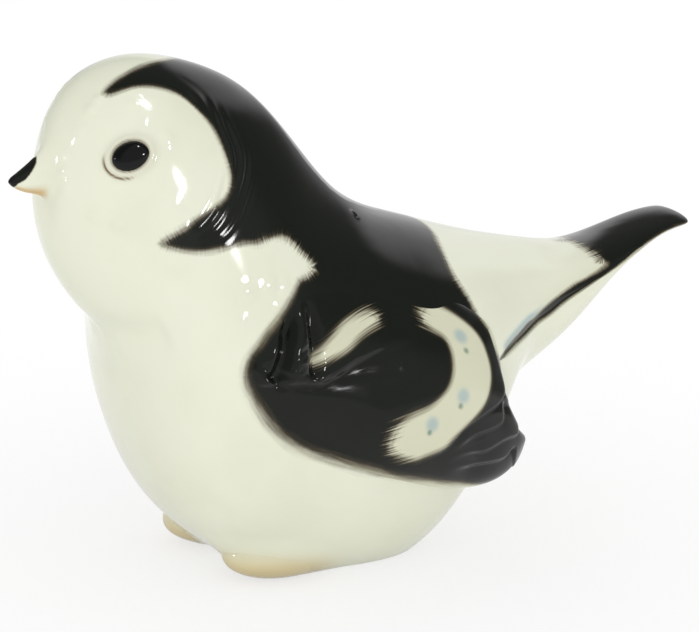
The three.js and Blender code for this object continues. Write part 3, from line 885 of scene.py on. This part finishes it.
def close_piece(piece):
    """Merges a piece's doubled vertices, fills its open ends and turns its faces outwards."""
    bpy.ops.object.shade_smooth()
    enter_edit(piece)
    bpy.ops.mesh.remove_doubles(threshold=WELD * MM)
    bpy.ops.mesh.select_all(action="DESELECT")
    bpy.ops.mesh.select_mode(type="EDGE")
    bpy.ops.mesh.select_non_manifold(
        use_wire=False, use_multi_face=False, use_non_contiguous=False, use_verts=False)
    bpy.ops.mesh.mark_sharp()
    bpy.ops.mesh.edge_face_add()
    leave_edit()


def hand_over(piece, node, slot):
    """Glazes a finished piece, and lets it stand for its CAD node."""
    piece.data.materials.clear()
    piece.data.materials.append(glaze(slot))
    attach(piece, "root")
    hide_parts(node)


def hand_over_pair(left, piece, node, slot):
    """Hands over a left piece, and a mirrored copy of it for the right side with its own mesh."""
    select_only(left)
    bpy.ops.object.duplicate()
    right = named(f"right_{piece}")
    right.data.transform(Matrix.Scale(-1, 4, Vector((0, 1, 0))))
    enter_edit(right)
    bpy.ops.mesh.flip_normals()
    bpy.ops.object.mode_set(mode="OBJECT")
    hand_over(left, f"left_{node}", slot)
    hand_over(right, f"right_{node}", slot)


def shrink_oval(piece, margin):
    """Draws the selected flat oval of the piece in edit mode in by a margin."""
    piece.update_from_editmode()
    oval = np.array([v.co for v in piece.data.vertices if v.select])
    low, high = oval.min(0), oval.max(0)
    scale = 1 - 2 * margin / (high - low)[:2]
    bpy.ops.transform.resize(value=(*scale, 1), center_override=(low + high) / 2)


def sharpen_level_edges(piece, height):
    """Marks the edges that lie level at a height as sharp, so that flat faces under it stay flat."""
    level = {v.index for v in piece.data.vertices if abs(v.co.z - height) < LEVEL * MM}
    for edge in piece.data.edges:
        if edge.vertices[0] in level and edge.vertices[1] in level:
            edge.use_edge_sharp = True


class BUNTING_OT_body(bpy.types.Operator):
    """Model the hollow body with its head, cut flat to stand on, with a recess for the base plate"""

    bl_idname = "bunting.body"
    bl_label = "Body"

    def execute(self, context):
        sizes = context.scene.bunting_sizes
        body = skin_piece("porcelain_body", BEAK_ROOT, TAIL_ROOT, BODY_RINGS, sizes)
        enter_edit(body)
        bpy.ops.mesh.bisect(
            plane_co=(0, 0, 0), plane_no=(0, 0, 1), use_fill=True, clear_inner=True, threshold=CUT * MM)
        bpy.ops.mesh.select_mode(type="FACE")
        bpy.ops.mesh.inset(thickness=0)
        shrink_oval(body, sizes.foot_ring)
        recess = sizes.plate_thickness + sizes.slip_gap
        bpy.ops.mesh.extrude_region_move(TRANSFORM_OT_translate={"value": (0, 0, recess)})
        leave_edit()
        sharpen_level_edges(body, 0)
        sharpen_level_edges(body, recess)
        hand_over(body, "body_shell", "body_glaze")
        return {"FINISHED"}


class BUNTING_OT_base_plate(bpy.types.Operator):
    """Model the unglazed plate that closes the body's underside"""

    bl_idname = "bunting.base_plate"
    bl_label = "Base Plate"

    def execute(self, context):
        sizes = context.scene.bunting_sizes
        recess = sizes.plate_thickness + sizes.slip_gap
        body = context.scene.objects["porcelain_body"]
        enter_edit(body)
        bpy.ops.mesh.select_mode(type="FACE")
        bpy.ops.mesh.select_all(action="DESELECT")
        bpy.ops.object.mode_set(mode="OBJECT")
        for face in body.data.polygons:
            face.select = face.normal.z < DOWNWARD and abs(face.center.z - recess) < LEVEL * MM
        bpy.ops.object.mode_set(mode="EDIT")
        bpy.ops.mesh.duplicate()
        bpy.ops.mesh.separate(type="SELECTED")
        bpy.ops.object.mode_set(mode="OBJECT")
        plate = next(o for o in context.selected_objects if o != body)
        plate.name = plate.data.name = "biscuit_plate"
        # The plate came from the body, with the labels of the body's node and slot
        for label in list(plate.keys()):
            del plate[label]
        enter_edit(plate)
        shrink_oval(plate, sizes.slip_gap)
        bpy.ops.transform.translate(value=(0, 0, -sizes.slip_gap))
        thickness = (0, 0, -sizes.plate_thickness)
        bpy.ops.mesh.extrude_region_move(TRANSFORM_OT_translate={"value": thickness})
        leave_edit()
        bpy.ops.object.shade_smooth_by_angle(angle=SHARP_ANGLE)
        hand_over(plate, "base_plate", "biscuit")
        return {"FINISHED"}


class BUNTING_OT_beak(bpy.types.Operator):
    """Model the short cone of the beak, luted to the face"""

    bl_idname = "bunting.beak"
    bl_label = "Beak"

    def execute(self, context):
        beak = skin_piece(
            "porcelain_beak", 0, BEAK_ROOT, BEAK_RINGS, context.scene.bunting_sizes,
            lambda station: quarter_round(station / BEAK_TIP_ROUND))
        hand_over(beak, "beak", "beak_glaze")
        return {"FINISHED"}


class BUNTING_OT_tail(bpy.types.Operator):
    """Model the flat tail, luted to the rump"""

    bl_idname = "bunting.tail"
    bl_label = "Tail"

    def execute(self, context):
        tail = skin_piece(
            "porcelain_tail", TAIL_ROOT, TAIL_END, TAIL_RINGS, context.scene.bunting_sizes,
            lambda station: quarter_round((TAIL_END - station) / TAIL_TIP_ROUND))
        hand_over(tail, "tail", "tail_glaze")
        return {"FINISHED"}


def wing_places(along, across):
    """Stations and girths of places on the wing."""
    upper = spline(WING_UPPER_EDGE, along * (len(WING_UPPER_EDGE) - 1))
    lower = spline(WING_LOWER_EDGE, along * (len(WING_LOWER_EDGE) - 1))
    return blend((upper, lower), across[:, None]).T


def wing_edge(share, firm, rounds):
    """How the wing rises from an edge: softly at the shoulder, and rounded where it is firm."""
    rise = np.clip(share / blend(rounds, firm), 0, 1)
    return blend((smooth(rise, 0, 1), quarter_round(rise)), firm)


def wing_swell(along, across, sizes):
    """How far the wing's plain form stands off the skin: a soft shoulder, and a rounded rim behind."""
    rim = smooth(along, *UPPER_TURN)
    upper = wing_edge(across, rim, UPPER_ROUND)
    lower = wing_edge(1 - across, smooth(along, *LOWER_TURN), LOWER_ROUND)
    ends = smooth(along, 0, FRONT_END) * quarter_round(1 - smooth(along, TIP_START, 1))
    lift = smooth(along, *LIFT_ALONG) * smooth(across, *LIFT_ACROSS)
    crown = blend((sizes.wing_proud, sizes.wing_tip_proud), lift) / MM
    crown -= RIM_DROP * rim * (1 - smooth(across, *RIM_DROP_END))
    return crown * upper * lower * ends - WING_TUCK


def wing_form(along, across, sizes):
    """Points of the wing's plain form."""
    station, girth = wing_places(along, across)
    swell = wing_swell(along, across, sizes)
    return skin_point(station, girth) + skin_normal(station, girth) * swell[:, None]


def wing_relief(form, normals, sizes):
    """Knobs, grooves and feather edges on the wing's plain form."""
    def on_wing(places):
        return wing_form(*smooth_path(places).T, sizes)

    deep, step = sizes.groove_depth / MM, sizes.feather_step / MM
    knobs = wing_form(*np.array(SHOULDER_KNOBS).T, sizes)
    relief = KNOB_SHARE * deep * bell(nearest_of(knobs, form), KNOB_WIDTH)
    for share, *widths, places in SHOULDER_GROOVES:
        relief += share * deep * groove(on_wing(places), form, normals, *widths)
    for share, *edge, places in FEATHER_EDGES:
        relief += share * step * lap(on_wing(places), form, normals, *edge)
    return relief


def wing_offset(along, across, place):
    """How far places on the wing lie from one of them, along and across, in millimetres."""
    return np.stack([(along - place[0]) * WING_SPAN, (across - place[1]) * WING_DEPTH])


def facet_relief(along, across):
    """Flattened spots on the shoulder, each with its slope along and across the wing."""
    relief = np.zeros(len(along))
    for *place, slope_along, slope_across in SHOULDER_FACETS:
        off = wing_offset(along, across, place)
        spread = np.linalg.norm(off, axis=0)
        slope = np.dot((slope_along, slope_across), off)
        relief += (slope + spread ** 2 / FACET_CURVE) * bell(spread, FACET_WIDTH)
    return relief


def scapular_relief(along, across):
    """Fine barbs round the fleck on the shoulder, along its length."""
    length, breadth = SCAPULAR_TURN @ wing_offset(along, across, SCAPULAR_BARBS)
    barbs = np.sin(2 * math.pi * (breadth + 0.3 * np.sin(0.6 * length)) / SCAPULAR_SPACING)
    fade = bell(length, SCAPULAR_SIZE[0]) * bell(breadth, SCAPULAR_SIZE[1])
    return SCAPULAR_HEIGHT * barbs * fade


def on_wing_skin(along, across):
    """Points of the skin under places on the wing."""
    return skin_point(*wing_places(along, across))


def lay_wing(along, across, sizes):
    """Points of the finished wing, and the attributes of its paint."""
    sheet = Sheet(*wing_places(along, across))
    form = wing_form(along, across, sizes)
    relief = wing_relief(form, sheet.normals, sizes)
    relief += scapular_relief(along, across) + facet_relief(along, across)
    relief *= np.clip(wing_swell(along, across, sizes) / RELIEF_FULL, 0, 1)
    paint = skin_paint(sheet)
    for edge, stroke in ((WING_BAR, BAR_STROKE), (SHOULDER_FLECK, FLECK_STROKE)):
        bare = Paint.area(edge, [], stroke, on_wing_skin, sheet.points, sheet.normals, along, across)
        paint = paint.without(bare)
    # The whole wing's white takes a fixed share of the pooled glaze's darker, yellower colour
    attributes = {**paint.attributes(), "pool": np.full(len(along), WING_WHITE_TONE)}
    for wash, radius, places in BAR_DABS:
        spread = nearest_of(on_wing_skin(*np.array(places).T), sheet.points)
        attributes[wash] = DAB_COVER * (1 - smooth(spread, 0.3 * radius, 1.6 * radius))
    return form + sheet.normals * relief[:, None], attributes


class BUNTING_OT_wings(bpy.types.Operator):
    """Model the folded wings, raised from the flanks, with feather steps; the right one is mirrored"""

    bl_idname = "bunting.wings"
    bl_label = "Wings"

    def execute(self, context):
        def lay(along, across):
            return lay_wing(along, across, context.scene.bunting_sizes)

        left = laid_grid("left_porcelain_wing", *WING_MESH, lay)
        close_piece(left)
        hand_over_pair(left, "porcelain_wing", "wing", "wing_glaze")
        return {"FINISHED"}


class BUNTING_OT_eyes(bpy.types.Operator):
    """Model the domed eye pellets, set in the sockets; the right one is a mirrored copy"""

    bl_idname = "bunting.eyes"
    bl_label = "Eyes"

    def execute(self, context):
        sizes = context.scene.bunting_sizes
        left = new_ball("left_eye_pellet", *EYE_MESH)
        centre, rearward, upward, out = skin_axes(EYE_AT)
        long_axis, short_axis = turned(rearward, upward)
        x, y, z = vertices_of(left.data).T
        angle = np.arctan2(y, x)
        corner = 1 + EYE_CORNER_OUT * (ring(angle, EYE_CORNER, 0.45) - ring(angle, math.pi / 2, 0.8))
        along = np.outer(x * corner * sizes.eye_length / MM / 2, long_axis)
        across = np.outer(y * corner * sizes.eye_height / MM / 2, short_axis)
        proud = np.outer((z - 1) * EYE_DOME + sizes.eye_proud / MM, out)
        reshape(left.data, centre + along + across + proud, {})
        enter_edit(left)
        leave_edit()
        bpy.ops.object.shade_smooth()
        hand_over_pair(left, "eye_pellet", "eye", "eye_glaze")
        return {"FINISHED"}


class BUNTING_OT_feet(bpy.types.Operator):
    """Model the toe pads that show under the breast; the right one is a mirrored copy"""

    bl_idname = "bunting.feet"
    bl_label = "Feet"

    def execute(self, context):
        sizes = context.scene.bunting_sizes
        left = new_ball("left_toe_pad", *TOE_MESH)
        low, half = toe_pad(sizes)
        points = low + half + vertices_of(left.data) * half
        outward = unit((points - points.mean(0)) / half ** 2)
        points += outward * fillet(skin_distance(points))[:, None]
        points[:, 2] = np.maximum(points[:, 2], low[2])
        reshape(left.data, points, {"toe": toe_wash(points, sizes)})
        bpy.ops.object.shade_smooth()
        hand_over_pair(left, "toe_pad", "foot", "toe_glaze")
        return {"FINISHED"}


class Nodes:
    """Adds nodes to a tree, with their settings and inputs; an input that is a socket is linked."""

    def __init__(self, tree):
        self.tree = tree
        self.across = 0

    def add(self, kind, inputs=None, **settings):
        node = self.tree.nodes.new(kind)
        node.location = (self.across, 0)
        self.across += 180
        for label, value in settings.items():
            setattr(node, label, value)
        for label, value in (inputs or {}).items():
            self.feed(node, label, value)
        return node

    def feed(self, node, label, value):
        if isinstance(value, bpy.types.NodeSocket):
            self.tree.links.new(value, node.inputs[label])
        else:
            node.inputs[label].default_value = value

    def math(self, operation, first, second):
        return self.add("ShaderNodeMath", {0: first, 1: second}, operation=operation).outputs[0]

    def mix(self, share, first, second):
        """The first colour, with a share of the second."""
        return self.add("ShaderNodeMix", {0: share, 6: first, 7: second}, data_type="RGBA").outputs[2]

    def ramp(self, value, low, high, to_low=0.0, to_high=1.0):
        inputs = {"Value": value, "From Min": low, "From Max": high, "To Min": to_low, "To Max": to_high}
        return self.add("ShaderNodeMapRange", inputs, interpolation_type="SMOOTHSTEP").outputs[0]

    def noise(self, place, scale, detail=2.0, roughness=0.5):
        inputs = {"Vector": place, "Scale": scale, "Detail": detail, "Roughness": roughness}
        return self.add("ShaderNodeTexNoise", inputs).outputs[0]

    def stretched(self, place, factors):
        return self.add("ShaderNodeVectorMath", {0: place, 1: factors}, operation="MULTIPLY").outputs[0]

    def attribute(self, label):
        return self.add("ShaderNodeAttribute", attribute_name=label).outputs["Fac"]

    def seen_rays(self):
        """1 for rays from the camera, in reflections and through glass, else 0."""
        path = self.add("ShaderNodeLightPath").outputs
        seen = self.math("MAXIMUM", path["Is Camera Ray"], path["Is Glossy Ray"])
        return self.math("MAXIMUM", seen, path["Is Transmission Ray"])

    def group(self, tree, **inputs):
        return self.add("ShaderNodeGroup", inputs, node_tree=tree).outputs


def new_group(name, inputs, outputs):
    """An empty node group with named sockets: its nodes, its inputs and its output node."""
    tree = bpy.data.node_groups.new(name, "ShaderNodeTree")
    for way, sockets in (("INPUT", inputs), ("OUTPUT", outputs)):
        for label, kind in sockets.items():
            tree.interface.new_socket(label, in_out=way, socket_type="NodeSocket" + kind)
    nodes = Nodes(tree)
    return nodes, nodes.add("NodeGroupInput").outputs, tree.nodes.new("NodeGroupOutput")


def brushed_edge():
    """Cover of brushed paint, with bristle marks where strokes end, and how far it is fully black."""
    if "Brushed Edge" in bpy.data.node_groups:
        return bpy.data.node_groups["Brushed Edge"]
    nodes, given, out = new_group(
        "Brushed Edge", {"Depth": "Float", "Run": "Float", "Bristle": "Float", "Blur": "Float"},
        {"Cover": "Float", "Full": "Float"})
    place = nodes.add("ShaderNodeCombineXYZ", {"X": given["Run"], "Y": given["Depth"]}).outputs[0]
    depth = given["Depth"]
    brushes = ((BRISTLE_MARKS, given["Bristle"], 4.0), (EDGE_MARKS, given["Blur"], 1.4))
    for marks, strength, reach in brushes:
        noise = nodes.noise(nodes.stretched(place, marks), 1, 3.0, 0.6)
        shift = nodes.math("MULTIPLY", nodes.math("SUBTRACT", noise, 0.5), reach)
        depth = nodes.math("ADD", depth, nodes.math("MULTIPLY", shift, strength))
    inside = nodes.math("DIVIDE", depth, given["Blur"])
    nodes.feed(out, "Cover", nodes.ramp(inside, -1, 1))
    nodes.feed(out, "Full", nodes.ramp(inside, -0.6, 1.7))
    return nodes.tree


def porcelain_white():
    """White porcelain, a little uneven, greener where the glaze lies thick in a hollow."""
    if "Porcelain White" in bpy.data.node_groups:
        return bpy.data.node_groups["Porcelain White"]
    nodes, given, out = new_group(
        "Porcelain White", {"Place": "Vector", "White": "Color", "Pooled": "Color", "Pool": "Float"},
        {"Color": "Color"})
    uneven = nodes.ramp(nodes.noise(given["Place"], 70, 3.0), 0.4, 0.75, 0, 0.16)
    thick = nodes.math("MAXIMUM", uneven, nodes.math("MULTIPLY", given["Pool"], 0.75))
    nodes.feed(out, "Color", nodes.mix(thick, given["White"], given["Pooled"]))
    return nodes.tree


def fired_glaze():
    """The slow waves and faint unevenness in the gloss of a fired glaze."""
    if "Fired Glaze" in bpy.data.node_groups:
        return bpy.data.node_groups["Fired Glaze"]
    nodes, given, out = new_group(
        "Fired Glaze", {"Place": "Vector"}, {"Roughness": "Float", "Normal": "Vector"})
    waves = nodes.noise(given["Place"], 110, 2.0)
    bump = nodes.add("ShaderNodeBump", {"Strength": 0.35, "Distance": 0.0003, "Height": waves})
    nodes.feed(out, "Normal", bump.outputs[0])
    nodes.feed(out, "Roughness", nodes.ramp(nodes.noise(given["Place"], 260, 3.0), 0.3, 0.7, 0.05, 0.12))
    return nodes.tree


def new_material(name):
    """An empty material, its nodes, and the place on the piece."""
    material = bpy.data.materials.new(name)
    material.use_nodes = True
    material.node_tree.nodes.clear()
    nodes = Nodes(material.node_tree)
    place = nodes.add("ShaderNodeTexCoord").outputs["Object"]
    return material, nodes, place


def finish_material(nodes, shader):
    """Shows a shader on the surface."""
    nodes.add("ShaderNodeOutputMaterial", {"Surface": shader.outputs[0]})


def painted_glaze(name, colours, washes, painted):
    """Glazed porcelain with washes of colour, and black brushwork where it is painted."""
    material, nodes, place = new_material(name)
    pool = nodes.attribute("pool")
    colour = nodes.group(
        porcelain_white(), Place=place, White=colours.white, Pooled=colours.pooled, Pool=pool)["Color"]
    for label in washes:
        colour = nodes.mix(nodes.attribute(label), colour, getattr(colours, label))
    if painted:
        edge = nodes.group(
            brushed_edge(), Depth=nodes.attribute("paint"), Run=nodes.attribute("run"),
            Bristle=nodes.attribute("bristle"), Blur=nodes.attribute("blur"))
        pigment = nodes.mix(edge["Full"], colours.thin_black, colours.black)
        colour = nodes.mix(edge["Cover"], colour, pigment)
    surface = nodes.group(fired_glaze(), Place=place)
    finish_material(nodes, nodes.add("ShaderNodeBsdfPrincipled", {
        "Base Color": colour, "Roughness": surface["Roughness"], "Normal": surface["Normal"],
        "IOR": 1.5, "Specular IOR Level": 0.4}))
    return material


def eye_glaze(name, colours):
    """Glossy black glaze."""
    material, nodes, place = new_material(name)
    surface = nodes.group(fired_glaze(), Place=place)
    finish_material(nodes, nodes.add("ShaderNodeBsdfPrincipled", {
        "Base Color": colours.eye, "Roughness": 0.04, "Normal": surface["Normal"],
        "IOR": 1.5, "Specular IOR Level": 0.45}))
    return material


def biscuit(name, colours):
    """Unglazed fired clay, matt and finely grained."""
    material, nodes, place = new_material(name)
    grain = nodes.noise(place, 1500, 4.0, 0.7)
    colour = nodes.mix(nodes.ramp(grain, 0.35, 0.75, 0, 0.5), colours.biscuit, colours.pooled)
    bump = nodes.add("ShaderNodeBump", {"Strength": 0.4, "Distance": 0.0001, "Height": grain})
    finish_material(nodes, nodes.add("ShaderNodeBsdfPrincipled", {
        "Base Color": colour, "Roughness": 0.8, "Normal": bump.outputs[0]}))
    return material


def glaze(slot):
    """The material of a slot, made when a piece first needs it."""
    name = f"fired_{slot}"
    if name in bpy.data.materials:
        return bpy.data.materials[name]
    colours = bpy.context.scene.bunting_colours
    if slot == "eye_glaze":
        return eye_glaze(name, colours)
    if slot == "biscuit":
        return biscuit(name, colours)
    washes = {
        "body_glaze": ("brown", "ochre", "blue", "toe"), "beak_glaze": ("ochre",),
        "tail_glaze": ("blue",), "wing_glaze": ("blue", "green"), "toe_glaze": ("toe",),
    }[slot]
    return painted_glaze(name, colours, washes, slot != "toe_glaze")


def direction(azimuth, elevation):
    """The way to an azimuth (0 is the left side, 90 the tail) and an elevation."""
    a, e = math.radians(azimuth), math.radians(elevation)
    return Vector((math.sin(a) * math.cos(e), -math.cos(a) * math.cos(e), math.sin(e)))


def facing(back):
    """A turn that looks against the direction back, level with the ground."""
    right = Vector((0, 0, 1)).cross(back).normalized()
    return Matrix((right, back.cross(right), back)).transposed().to_euler()


class BUNTING_OT_stage(bpy.types.Operator):
    """Set up the white floor, the lamps, the white surround and the camera"""

    bl_idname = "bunting.stage"
    bl_label = "Stage"

    def execute(self, context):
        scene = context.scene
        self.add_floor()
        self.add_dome()
        for name, azimuth, elevation, distance, size, power, in_glaze in LAMPS:
            self.add_lamp(name, direction(azimuth, elevation), distance, size, power, in_glaze)
        self.add_camera(scene)
        self.light_surround(scene)
        scene.view_settings.view_transform = "Standard"
        return {"FINISHED"}

    @staticmethod
    def add_floor():
        """White paper, pure white to the camera away from the bird, and toned in the glaze."""
        deselect()
        bpy.ops.mesh.primitive_plane_add(size=FLOOR_SIZE, location=(0, 0, -FLOOR_DROP))
        floor = named("floor")
        material, nodes, place = new_material("floor")
        path = nodes.add("ShaderNodeLightPath").outputs
        far = nodes.add("ShaderNodeVectorMath", {0: place}, operation="LENGTH").outputs["Value"]
        seen = nodes.math("MULTIPLY", path["Is Camera Ray"], nodes.ramp(far, *FLOOR_SHADE))
        along = nodes.add("ShaderNodeVectorMath", {0: place, 1: BRIGHT_WAY}, operation="DOT_PRODUCT")
        behind = along.outputs["Value"]
        near = nodes.ramp(behind, *NEAR_TURN, *FLOOR_SHEEN)
        horizon = nodes.ramp(behind, *HORIZON_TURN, DOME_TONES[1], FLOOR_SHEEN[1])
        sheen = nodes.ramp(far, *HORIZON_REACH, near, horizon)
        tone = nodes.mix(path["Is Glossy Ray"], (1, 1, 1, 1), sheen)
        paper = nodes.add("ShaderNodeBsdfDiffuse", {"Color": FLOOR_COLOUR})
        white = nodes.add("ShaderNodeEmission", {"Color": tone, "Strength": 1.0})
        shown = nodes.math("MAXIMUM", seen, path["Is Glossy Ray"])
        finish_material(nodes, nodes.add("ShaderNodeMixShader", {
            0: shown, 1: paper.outputs[0], 2: white.outputs[0]}))
        floor.data.materials.append(material)

    @staticmethod
    def add_dome():
        """A dark room that only reflections show, open to the white surround behind the bird."""
        def lay(across, up):
            azimuth, elevation = blend((-180, 180), across), blend(DOME_ELEVATIONS, up)
            at, height, slope = WINDOW_SILL
            border = (-WINDOW_BORDER, WINDOW_BORDER)
            over_sill = smooth(elevation - height - slope * (azimuth - at), *border)
            head = blend(WINDOW_HEAD, smooth(azimuth, *HEAD_DROP))
            window = band(azimuth, *WINDOW_SIDES) * over_sill * (1 - smooth(elevation - head, *border))
            middle, *sides = PALE_FRONT
            front = 1 - smooth(np.abs(azimuth - middle), *sides)
            low = 1 - smooth(elevation, *PALE_LOW)
            ways = np.array([direction(a, e) for a, e in zip(azimuth, elevation)])
            tone = blend(DOME_TONES, np.maximum(front, low))
            return ways * DOME_RADIUS / MM, {"wall": 1 - window, "tone": tone}

        dome = laid_grid("dome", *DOME_MESH, lay)
        material, nodes, _ = new_material("dome")
        wall = nodes.add("ShaderNodeEmission", {"Color": nodes.attribute("tone"), "Strength": 1.0})
        opening = nodes.add("ShaderNodeBsdfTransparent")
        finish_material(nodes, nodes.add("ShaderNodeMixShader", {
            0: nodes.attribute("wall"), 1: opening.outputs[0], 2: wall.outputs[0]}))
        dome.data.materials.append(material)
        dome.visible_camera = dome.visible_diffuse = dome.visible_shadow = False

    @staticmethod
    def add_lamp(name, way, distance, size, power, in_glaze):
        """A round lamp that looks at the bird."""
        deselect()
        place = Vector(LOOK_AT) + way * distance
        bpy.ops.object.light_add(type="AREA", location=place, rotation=facing(way))
        lamp = named(name)
        lamp.data.shape = "DISK"
        lamp.data.size = size
        lamp.data.energy = power
        lamp.visible_glossy = in_glaze
        lamp.visible_diffuse = not in_glaze

    @staticmethod
    def add_camera(scene):
        """The photo's camera."""
        back = direction(*CAMERA_DIRECTION)
        deselect()
        place = Vector(LOOK_AT) + back * CAMERA_DISTANCE
        bpy.ops.object.camera_add(location=place, rotation=facing(back))
        camera = bpy.context.object
        camera.data.sensor_width = SENSOR_WIDTH
        camera.data.lens = SENSOR_WIDTH * CAMERA_DISTANCE / FRAME_WIDTH
        camera.data.shift_x, camera.data.shift_y = CAMERA_SHIFT
        camera.data.clip_start = CLIP_START
        scene.camera = camera

    @staticmethod
    def light_surround(scene):
        """A soft white light from all round, seen as pure white."""
        scene.world = bpy.data.worlds.new("surround")
        scene.world.use_nodes = True
        tree = scene.world.node_tree
        tree.nodes.clear()
        nodes = Nodes(tree)
        seen = nodes.seen_rays()
        soft = nodes.add("ShaderNodeBackground", {"Color": (1, 1, 1, 1), "Strength": SURROUND_LIGHT})
        white = nodes.add("ShaderNodeBackground", {"Color": (1, 1, 1, 1), "Strength": 1.0})
        mix = nodes.add("ShaderNodeMixShader", {0: seen, 1: soft.outputs[0], 2: white.outputs[0]})
        nodes.add("ShaderNodeOutputWorld", {"Surface": mix.outputs[0]})


class BUNTING_PT_panel(bpy.types.Panel):
    """Lists the pieces, and the sizes and colours that they follow"""

    bl_idname = "BUNTING_PT_panel"
    bl_label = "Snow Bunting"
    bl_space_type = "VIEW_3D"
    bl_region_type = "UI"
    bl_category = "Bunting"

    def draw(self, context):
        layout = self.layout
        for operator in OPERATORS:
            layout.operator(operator.bl_idname)
        for settings in (context.scene.bunting_sizes, context.scene.bunting_colours):
            column = layout.column()
            for label in settings.__annotations__:
                column.prop(settings, label)


OPERATORS = (
    BUNTING_OT_body, BUNTING_OT_base_plate, BUNTING_OT_beak, BUNTING_OT_tail, BUNTING_OT_wings,
    BUNTING_OT_eyes, BUNTING_OT_feet, BUNTING_OT_stage,
)
CLASSES = (BuntingSizes, BuntingColours, *OPERATORS, BUNTING_PT_panel)


def register():
    for cls in CLASSES:
        bpy.utils.register_class(cls)
    bpy.types.Scene.bunting_sizes = bpy.props.PointerProperty(type=BuntingSizes)
    bpy.types.Scene.bunting_colours = bpy.props.PointerProperty(type=BuntingColours)


def unregister():
    del bpy.types.Scene.bunting_colours
    del bpy.types.Scene.bunting_sizes
    for cls in reversed(CLASSES):
        bpy.utils.unregister_class(cls)


def main():
    register()
    bpy.ops.bunting.body()
    bpy.ops.bunting.base_plate()
    bpy.ops.bunting.beak()
    bpy.ops.bunting.tail()
    bpy.ops.bunting.wings()
    bpy.ops.bunting.eyes()
    bpy.ops.bunting.feet()
    bpy.ops.bunting.stage()


if __name__ == "__main__":
    main()
